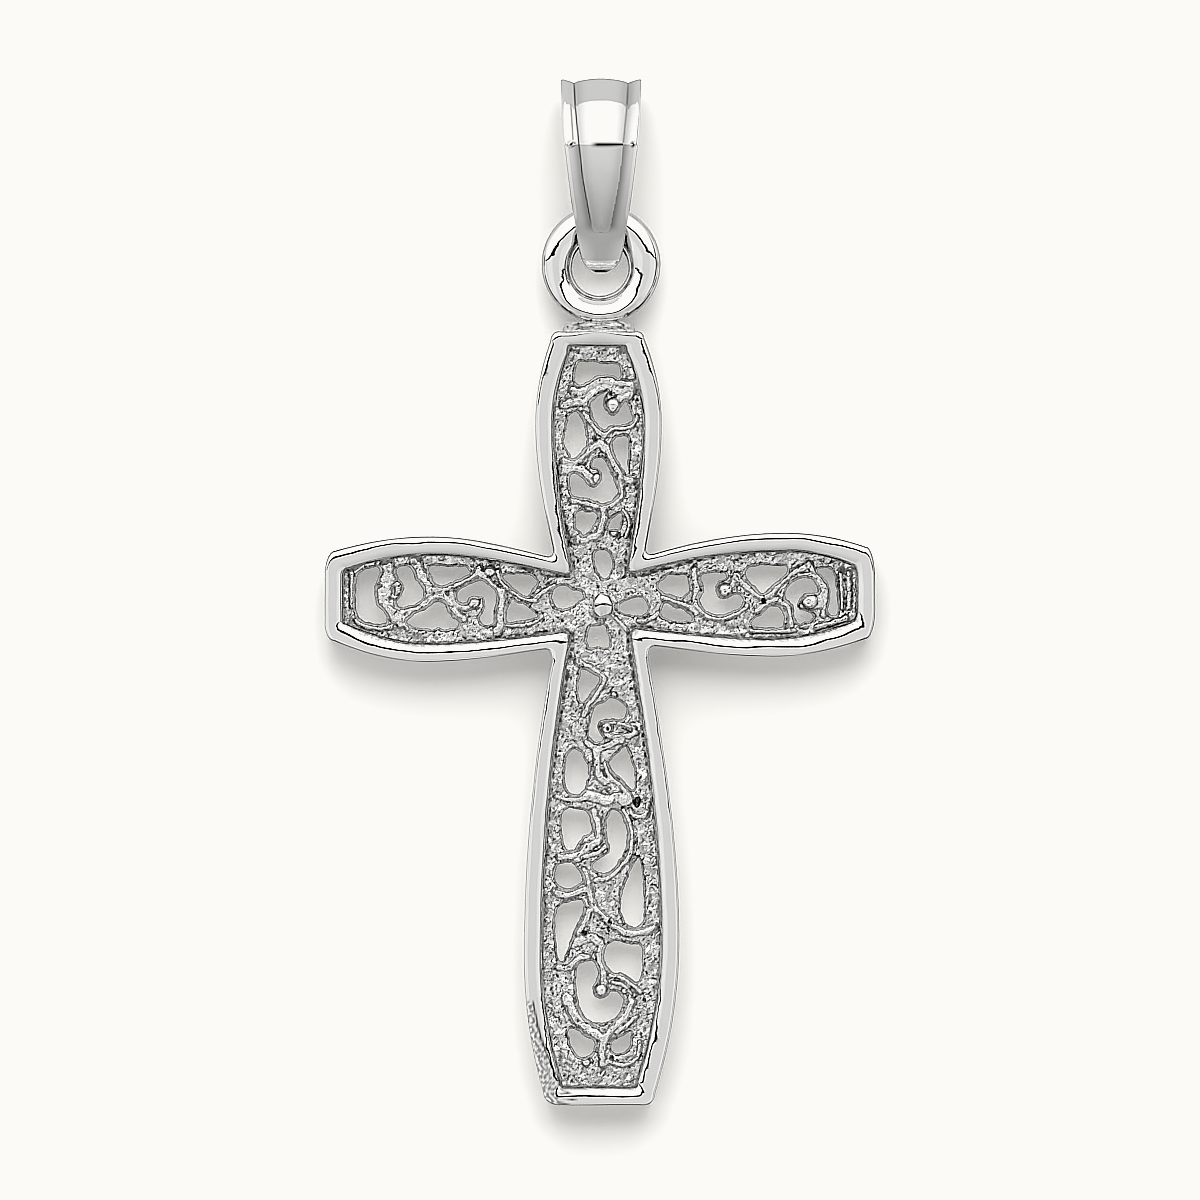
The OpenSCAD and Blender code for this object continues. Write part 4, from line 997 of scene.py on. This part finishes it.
def bail():
    """The strip carried round its folded line: raised edges that slope down to two grooves, the grooves
    closed in a U above the tip, a crowned panel between them, a spoon-like tip, and a plain rounded
    inner face."""
    run = bail_run()
    y0, z0, head = run[:, 0:1], run[:, 1:2], run[:, 2:3]
    ny, nz = np.cos(head), np.sin(head)
    width, groove = np.array(BAIL_WIDTH), np.array(GROOVE_LINE)
    half = np.interp(y0, width[:, 0], width[:, 1])
    groove_x = np.interp(y0, groove[:, 0], groove[:, 1], left=0.0)
    f = -np.cos(np.linspace(0, math.pi, 97))
    x = f * half
    seen = smooth((nz + 0.8) / 0.6)
    facing = smooth((nz + 0.1) / 0.7)
    off = to_line(np.abs(x), y0 + 0 * x, groove[:, ::-1])
    inside = (np.abs(x) < groove_x) & (y0 > groove[0, 0])
    strong = seen * smooth((y0 - GROOVES_FROM) / 0.5)
    upper = smooth((y0 - UPPER_FROM) / 0.1)

    # How far the face lies under the outer line, and the inner face behind it
    valley = 0.012 * upper * bell(off, 0.06) * strong
    across = np.clip(x / np.maximum(groove_x, 0.05), -1, 1)
    to_edge = np.clip(1 - off / np.maximum(half - groove_x, 0.05), 0, 1)
    fall = np.interp(y0, [9.8, CREASE[0], 14.0], [0.01, 0.06, 0.11])
    crown = np.where(inside, fall * across**2, 0)
    rail = np.where(inside, 0, fall * to_edge)
    spoon = 0.22 * x**2 * smooth((10.0 - y0) / 0.8) * facing
    chamfer = 0.06 * np.clip((np.abs(x) - half + 0.11) / 0.11, 0, 1) ** 1.6 * smooth((y0 - 9.9) / 0.6)
    lip = chamfer * (0.3 + 0.7 * facing) + 0.02 * np.clip((np.abs(f) - 0.95) / 0.05, 0, 1) ** 2
    dent = 0.001 * ripple(x, y0 + 0 * x, 0.7, 20, 61) * facing
    depth = np.minimum(valley + (crown + rail) * seen + spoon + lip + dent + 0.002, STRIP_T - 0.05)
    outer = np.stack([x + CROSSING[0], y0 - ny * depth, z0 - nz * depth], axis=2)
    g = f[::-2]
    inner_t = STRIP_T - 0.04 * np.abs(g) ** 8 + 0.3 * spoon[:, ::-2]
    inner = np.stack([g * (half - 0.004) + CROSSING[0], y0 - ny * inner_t, z0 - nz * inner_t], axis=2)
    points = np.concatenate([outer, inner], axis=1)

    # Painted shade: dark lines in the grooves, soft greys beside them and over the lower front, dark marks
    # and a dark line along the crease, and the underside and inner face darker; and one thin dark line on the
    # left rail
    left = x < 0
    lower = 1 - upper
    line = np.where(left, 0.94, 0.15 + 0.50 * upper) * bell(off, np.where(left, 0.024, 0.045)) * strong
    shade = np.where(inside, 0.22, np.where(left, 0.50, 0.56)) * lower
    shade = shade + np.where(inside, 0.28, np.where(left, 0.10, 0.40)) * upper
    soft = shade * bell(off, np.where(inside, 0.20, 0.17)) * seen * smooth((y0 - GROOVES_FROM) / 0.3)
    lower_front_shade = 0.30 * smooth((12.2 - y0) / 2.4) * smooth((y0 - 8.99) / 0.05) * facing
    soft = lower_front_shade + (1 - lower_front_shade) * soft
    crease_star_shade = bell(np.abs(x) - np.where(left, 0.78, 0.86), np.where(left, 0.12, 0.07))
    crease_star_shade = crease_star_shade * patches(x, y0 + 0 * x, 0.10, 12, 62, 0.8, 0.7)
    # painted shade along the crease, and dark marks where the grooves meet it
    fold = np.where(inside, smooth((x + 0.36) / 0.30), crease_star_shade)
    fold = fold * bell(y0 - CREASE_SHADE_Y, np.where(inside, 0.066, 0.095))
    mark = 0.60 * bell(np.abs(x + 0.80 + 0.06 * (y0 - 12.9)), 0.022)
    mark = mark * smooth((y0 - 12.2) / 0.1) * smooth((13.35 - y0) / 0.15)
    # painted shade on the faces that look down
    wall = WALL_AND_UNDERSIDE_SHADE * (1 - smooth((nz + 0.6) / 0.4)) + 0 * x
    dark = np.maximum.reduce([line, soft, fold * facing, mark * facing, wall])
    # the inner face is evenly darkened by painted shade
    dark = np.concatenate([dark, 0.5 + 0 * g * half], axis=1)
    return piece("bail_strip", points, tube_faces(len(run), points.shape[1]), np.clip(dark, 0, 1))


# Materials
def node(tree, kind, inputs=None, **settings):
    """A node with its settings and its inputs: an input that is given another node's socket is linked to
    it, and any other takes the value."""
    made = tree.nodes.new(kind)
    for key, value in settings.items():
        setattr(made, key, value)
    for key, value in (inputs or {}).items():
        if isinstance(value, bpy.types.NodeSocket):
            tree.links.new(value, made.inputs[key])
        else:
            made.inputs[key].default_value = value
    return made


class Sums:
    """Short calls for sums in a node tree."""

    def __init__(self, tree):
        self.tree = tree

    def __call__(self, operation, *terms):
        return node(self.tree, "ShaderNodeMath", dict(enumerate(terms)), operation=operation).outputs[0]

    def mix(self, share, there, elsewhere):
        """There where share is 1, elsewhere where it is 0, and in proportion between."""
        rest = self("SUBTRACT", 1.0, share)
        return self("ADD", self("MULTIPLY", there, share), self("MULTIPLY", elsewhere, rest))

    def ramp(self, value, low, high, stops):
        """A grey scale over a value from low to high, as (value, grey) stops."""
        share = node(self.tree, "ShaderNodeMapRange", {"Value": value, "From Min": low, "From Max": high})
        made = node(self.tree, "ShaderNodeValToRGB", {"Fac": share.outputs["Result"]})
        elements = made.color_ramp.elements
        for k, (at, grey) in enumerate(stops):
            item = elements[k] if k < len(elements) else elements.new(1.0)
            item.position = (at - low) / (high - low)
            item.color = (grey, grey, grey, 1)
        return made.outputs["Color"]


def silver(name, rough_low, rough_high, bump_scale, bump_height, pits):
    """Bright white plating: metal with fine noise in its roughness and relief. On the cast parts a net
    of fine pits takes the noise's place. The mesh's painted shade and tone, and painted shade along the
    net's lines, darken its colour."""
    mat = bpy.data.materials.new(name)
    mat.use_nodes = True
    tree = mat.node_tree
    sums = Sums(tree)
    place = node(tree, "ShaderNodeTexCoord").outputs["Object"]
    painted_shade_and_tone = node(tree, "ShaderNodeAttribute", attribute_name="painted_shade_and_tone").outputs["Fac"]

    def noise(scale, detail, kind="Fac"):
        inputs = {"Vector": place, "Scale": scale, "Detail": detail}
        return node(tree, "ShaderNodeTexNoise", inputs).outputs[kind]

    broad = noise(1300.0, 4.0)
    if pits:
        bend = {0: noise(6000.0, 2.0, "Color"), 1: (0.00012, 0.00012, 0.00012), 2: place}
        bent = node(tree, "ShaderNodeVectorMath", bend, operation="MULTIPLY_ADD").outputs["Vector"]
        cells = {"Vector": bent, "Scale": bump_scale}
        cell = node(tree, "ShaderNodeTexVoronoi", cells, feature="DISTANCE_TO_EDGE").outputs["Distance"]
        line = sums.ramp(cell, 0.0, 0.5, [(0.0, 1.0), (0.10, 0.75), (0.22, 0.0)])
        patch = sums.ramp(broad, 0.0, 1.0, [(0.40, 0.10), (0.60, 1.0)])
        # the net's lines darken in patches as painted shade, added to the mesh's painted shade and tone
        dark = sums("ADD", sums("MULTIPLY", sums("MULTIPLY", line, patch), pits), painted_shade_and_tone)
        relief = sums("SUBTRACT", sums("MINIMUM", cell, 0.25), sums("MULTIPLY", line, 0.1))
    else:
        dark = sums("MULTIPLY_ADD", broad, 0.04, painted_shade_and_tone)
        relief = noise(bump_scale, 3.0)
    tone = {"Factor": sums("MINIMUM", dark, 1.0), "A": PLATING, "B": SHADE_AND_TONE_BLACK}
    rough = {"Value": broad, "From Min": 0.3, "From Max": 0.7, "To Min": rough_low, "To Max": rough_high}
    bump = {"Height": relief, "Strength": 1.0, "Distance": bump_height}
    shader = tree.nodes["Principled BSDF"].inputs
    shader["Metallic"].default_value = 1.0
    link = tree.links.new
    link(node(tree, "ShaderNodeMix", tone, data_type="RGBA").outputs["Result"], shader["Base Color"])
    link(node(tree, "ShaderNodeMapRange", rough).outputs["Result"], shader["Roughness"])
    link(node(tree, "ShaderNodeBump", bump).outputs["Normal"], shader["Normal"])
    return mat


polished = silver("polished_plating", 0.04, 0.09, 2600.0, 0.000003, 0.0)
cast = silver("cast_plating", 0.14, 0.24, 9000.0, 0.000006, 0.12)

# The charm: each piece with its material, its slot and the CAD node that it stands for
charm = [
    (cross_frame(), polished, "cross_silver", "cross"),
    (openwork("openwork_head", HEAD_Y, FAR), cast, "cross_silver", "cross"),
    (openwork("openwork_arms", JOIN_Y, HEAD_Y), cast, "cross_silver", "cross"),
    (openwork("openwork_foot", -FAR, JOIN_Y), cast, "cross_silver", "cross"),
    (centre_bead(), polished, "cross_silver", "cross"),
    (hanging_ring(), polished, "cross_silver", "cross"),
    (solder_joint(), polished, "cross_silver", "cross"),
    (bail(), polished, "bail_silver", "bail"),
]
for obj, mat, slot_name, node_name in charm:
    obj.data.materials.append(mat)
    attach(obj, "root")
    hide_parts(node_name)


# Studio
def sheet_glow_and_painted_light(tree):
    """How strongly the sheet glows: SHEET_GLOW all over, and the painted light under the gaps more where a
    point lies inside the upright bar, the cross bar or the ring's hole, by the least of its distances to
    them."""
    s = Sums(tree)
    place = node(tree, "ShaderNodeTexCoord").outputs["Object"]
    split = node(tree, "ShaderNodeSeparateXYZ", {"Vector": place})
    x, y = (s("MULTIPLY", split.outputs[axis], 1 / MM) for axis in ("X", "Y"))

    def off(value, middle):
        return s("ABSOLUTE", s("SUBTRACT", value, middle))

    def to_bar(middle, half):
        return s("MAXIMUM", *(s("SUBTRACT", off(*pair), size) for *pair, size in zip((x, y), middle, half)))

    upright = to_bar((CROSSING[0], UPRIGHT_Y), UPRIGHT_HALF)
    level = to_bar(CROSSING, LEVEL_HALF)
    squares = (s("POWER", s("SUBTRACT", value, middle), 2.0) for value, middle in zip((x, y), HOLE_MID))
    hole = s("SUBTRACT", s("SQRT", s("ADD", *squares)), HOLE_R)
    nearest = s("MINIMUM", s("MINIMUM", upright, level), hole)
    return s("ADD", s.ramp(nearest, -1.0, 1.0, [(-0.05, GAP_PAINTED_LIGHT), (0.25, 0.0)]), SHEET_GLOW)


def white_sheet():
    """A wide flat sheet of matt warm white under the charm, which glows a little, and more under the
    openwork as painted light. It isn't seen in the metal."""
    mat = bpy.data.materials.new("white_sheet")
    mat.use_nodes = True
    shader = mat.node_tree.nodes["Principled BSDF"].inputs
    shader["Base Color"].default_value = SHEET_WHITE
    shader["Emission Color"].default_value = SHEET_WHITE
    shader["Roughness"].default_value = 0.9
    shader["Specular IOR Level"].default_value = 0.0
    mat.node_tree.links.new(sheet_glow_and_painted_light(mat.node_tree), shader["Emission Strength"])
    half = 0.6
    corners = [(-half, -half, 0), (half, -half, 0), (half, half, 0), (-half, half, 0)]
    mesh = bpy.data.meshes.new("table_sheet")
    mesh.from_pydata(corners, [], [(0, 1, 2, 3)])
    mesh.materials.append(mat)
    obj = bpy.data.objects.new("table_sheet", mesh)
    bpy.context.scene.collection.objects.link(obj)
    obj.visible_glossy = False


def studio_light():
    """The light of a copy stand, all in the world. A direction is read as the slope of a mirror that
    would send it straight up: sx across X and sy along Y, each the direction's part over its height plus
    one.

    Towards +Y comes a thin dark gap and then a wide white panel; the near side is grey, and both flanks
    are white with a thin dark gap at the right. A narrow lamp over the panel throws the soft shadow to
    the south and is much weaker in mirrored light. Below the horizon the table is grey, lighter to the
    sides, with a bright tongue at the near side, and dark straight down. Light that isn't mirrored is a
    fifth weaker."""
    world = bpy.data.worlds.new("studio")
    bpy.context.scene.world = world
    world.use_nodes = True
    tree = world.node_tree
    tree.nodes.clear()
    s = Sums(tree)
    place = node(tree, "ShaderNodeTexCoord").outputs["Generated"]
    split = node(tree, "ShaderNodeSeparateXYZ", {"Vector": place})
    mirrored = node(tree, "ShaderNodeLightPath").outputs["Is Glossy Ray"]
    up = s("MAXIMUM", s("ADD", split.outputs["Z"], 1.0), 0.0005)
    sx, sy = (s("DIVIDE", split.outputs[axis], up) for axis in ("X", "Y"))
    aside = s("ABSOLUTE", sx)
    steep = s("SQRT", s("ADD", s("MULTIPLY", sx, sx), s("MULTIPLY", sy, sy)))
    some = s("MAXIMUM", steep, 0.001)
    tilt_y, tilt = (s("MULTIPLY", s("ARCTANGENT", slope), 180 / math.pi) for slope in (sy, steep))

    # Above the horizon
    near_to_far = s.ramp(tilt_y, -90, 90, [
        (-60, 0.38), (-47, 0.42), (-28, 0.72), (-10, 0.76), (3.4, 0.72), (6.0, 1.06), (60, 1.06),
    ])
    flanks = s.ramp(sx, -2, 2, [
        (-1.2, 0.45), (-0.75, 0.78), (-0.55, 0.86), (-0.30, 0.86), (-0.06, 0.6), (0.08, 0.6), (0.30, 0.82),
        (0.55, 0.82),
    ])
    wide = s("MULTIPLY_ADD", aside, 2.2, 1.0)
    far_gap = s.ramp(s("MULTIPLY", s("SUBTRACT", tilt_y, 4.7), wide), -10, 10, [
        (-2.6, 1.0), (-1.8, 0.01), (1.8, 0.01), (2.6, 1.0),
    ])
    panel = s.ramp(tilt_y, -90, 90, [(7.4, 0.0), (11.0, 1.0), (30.0, 1.0), (44.5, 0.15)])
    narrow = s.ramp(aside, 0, 1, [(0.10, 1.0), (0.34, 0.0)])
    power = s("SUBTRACT", LAMP, s("MULTIPLY", mirrored, LAMP - LAMP_MIRRORED))
    lamp = s("MULTIPLY", s("MULTIPLY", panel, narrow), power)
    right_gap = s.ramp(sx, -2, 2, [(0.72, 1.0), (0.84, 0.12), (0.98, 0.12), (1.04, 1.0)])
    sky = s("ADD", s("MULTIPLY", s("MAXIMUM", near_to_far, flanks), far_gap), lamp)
    sky = s("MULTIPLY", sky, right_gap)

    # Below the horizon
    beside = s.ramp(tilt, 0, 90, [(45, 1.0), (58, 0.95), (68, 0.55), (80, 0.45), (88, 0.30)])
    before = s.ramp(tilt, 0, 90, [(45, 0.66), (70, 0.66), (78, 0.62), (84, 0.40), (90, 0.30)])
    table = s.mix(s("POWER", s("DIVIDE", aside, some), 3.0), beside, before)
    south = s("MAXIMUM", s("DIVIDE", s("MULTIPLY", sy, -1.0), some), 0.0)
    south = s.ramp(south, 0, 1, [(0.6, 0.0), (0.9, 1.0)])
    tongue = s.ramp(tilt, 0, 90, [(45, 0.42), (47, 0.95), (56, 0.95), (60, 0.30), (64, 0.03), (90, 0.02)])
    tongue = s.mix(s.ramp(aside, 0, 1, [(0.10, 1.0), (0.24, 0.0)]), tongue, 0.40)
    table = s.mix(south, tongue, table)

    light = s.mix(s.ramp(tilt, 0, 90, [(44.3, 0.0), (45.3, 1.0)]), table, sky)
    light = s("MULTIPLY", light, s("MULTIPLY_ADD", mirrored, 1 - DIFFUSE_SHARE, DIFFUSE_SHARE))
    back = node(tree, "ShaderNodeBackground", {"Color": LIGHT_COLOUR, "Strength": light})
    node(tree, "ShaderNodeOutputWorld", {"Surface": back.outputs["Background"]})


def camera():
    """Straight above the charm and far back, at the photograph's scale."""
    data = bpy.data.cameras.new("camera")
    obj = bpy.data.objects.new("camera", data)
    bpy.context.scene.collection.objects.link(obj)
    away, wide = 0.4, PHOTO_PX / PX_PER_MM * MM
    data.sensor_width = 36.0
    data.lens = data.sensor_width * away / wide
    data.clip_start, data.clip_end = 0.01, 10.0
    obj.location = (0.0, VIEW_Y * MM, away + SCALE_Z * MM)
    bpy.context.scene.camera = obj


def print_picture(crisp, white):
    """The finish of a catalogue print: sharpened a little in display brightness, and nothing whiter than
    its white, before and after."""
    scene = bpy.context.scene
    scene.use_nodes = True
    tree = scene.node_tree
    tree.nodes.clear()

    def no_whiter(image):
        inputs = {1: image, 2: (*white, 1)}
        return node(tree, "CompositorNodeMixRGB", inputs, blend_type="DARKEN").outputs["Image"]

    def power(image, exponent):
        return node(tree, "CompositorNodeGamma", {0: image, 1: exponent}).outputs["Image"]

    image = no_whiter(node(tree, "CompositorNodeRLayers").outputs["Image"])
    inputs = {"Image": power(image, 1 / DISPLAY_GAMMA), "Fac": crisp}
    image = node(tree, "CompositorNodeFilter", inputs, filter_type="SHARPEN").outputs["Image"]
    image = no_whiter(power(image, DISPLAY_GAMMA))
    node(tree, "CompositorNodeComposite", {"Image": image})


white_sheet()
studio_light()
camera()
bpy.context.scene.view_settings.view_transform = "Standard"
print_picture(0.30, PRINT_WHITE)
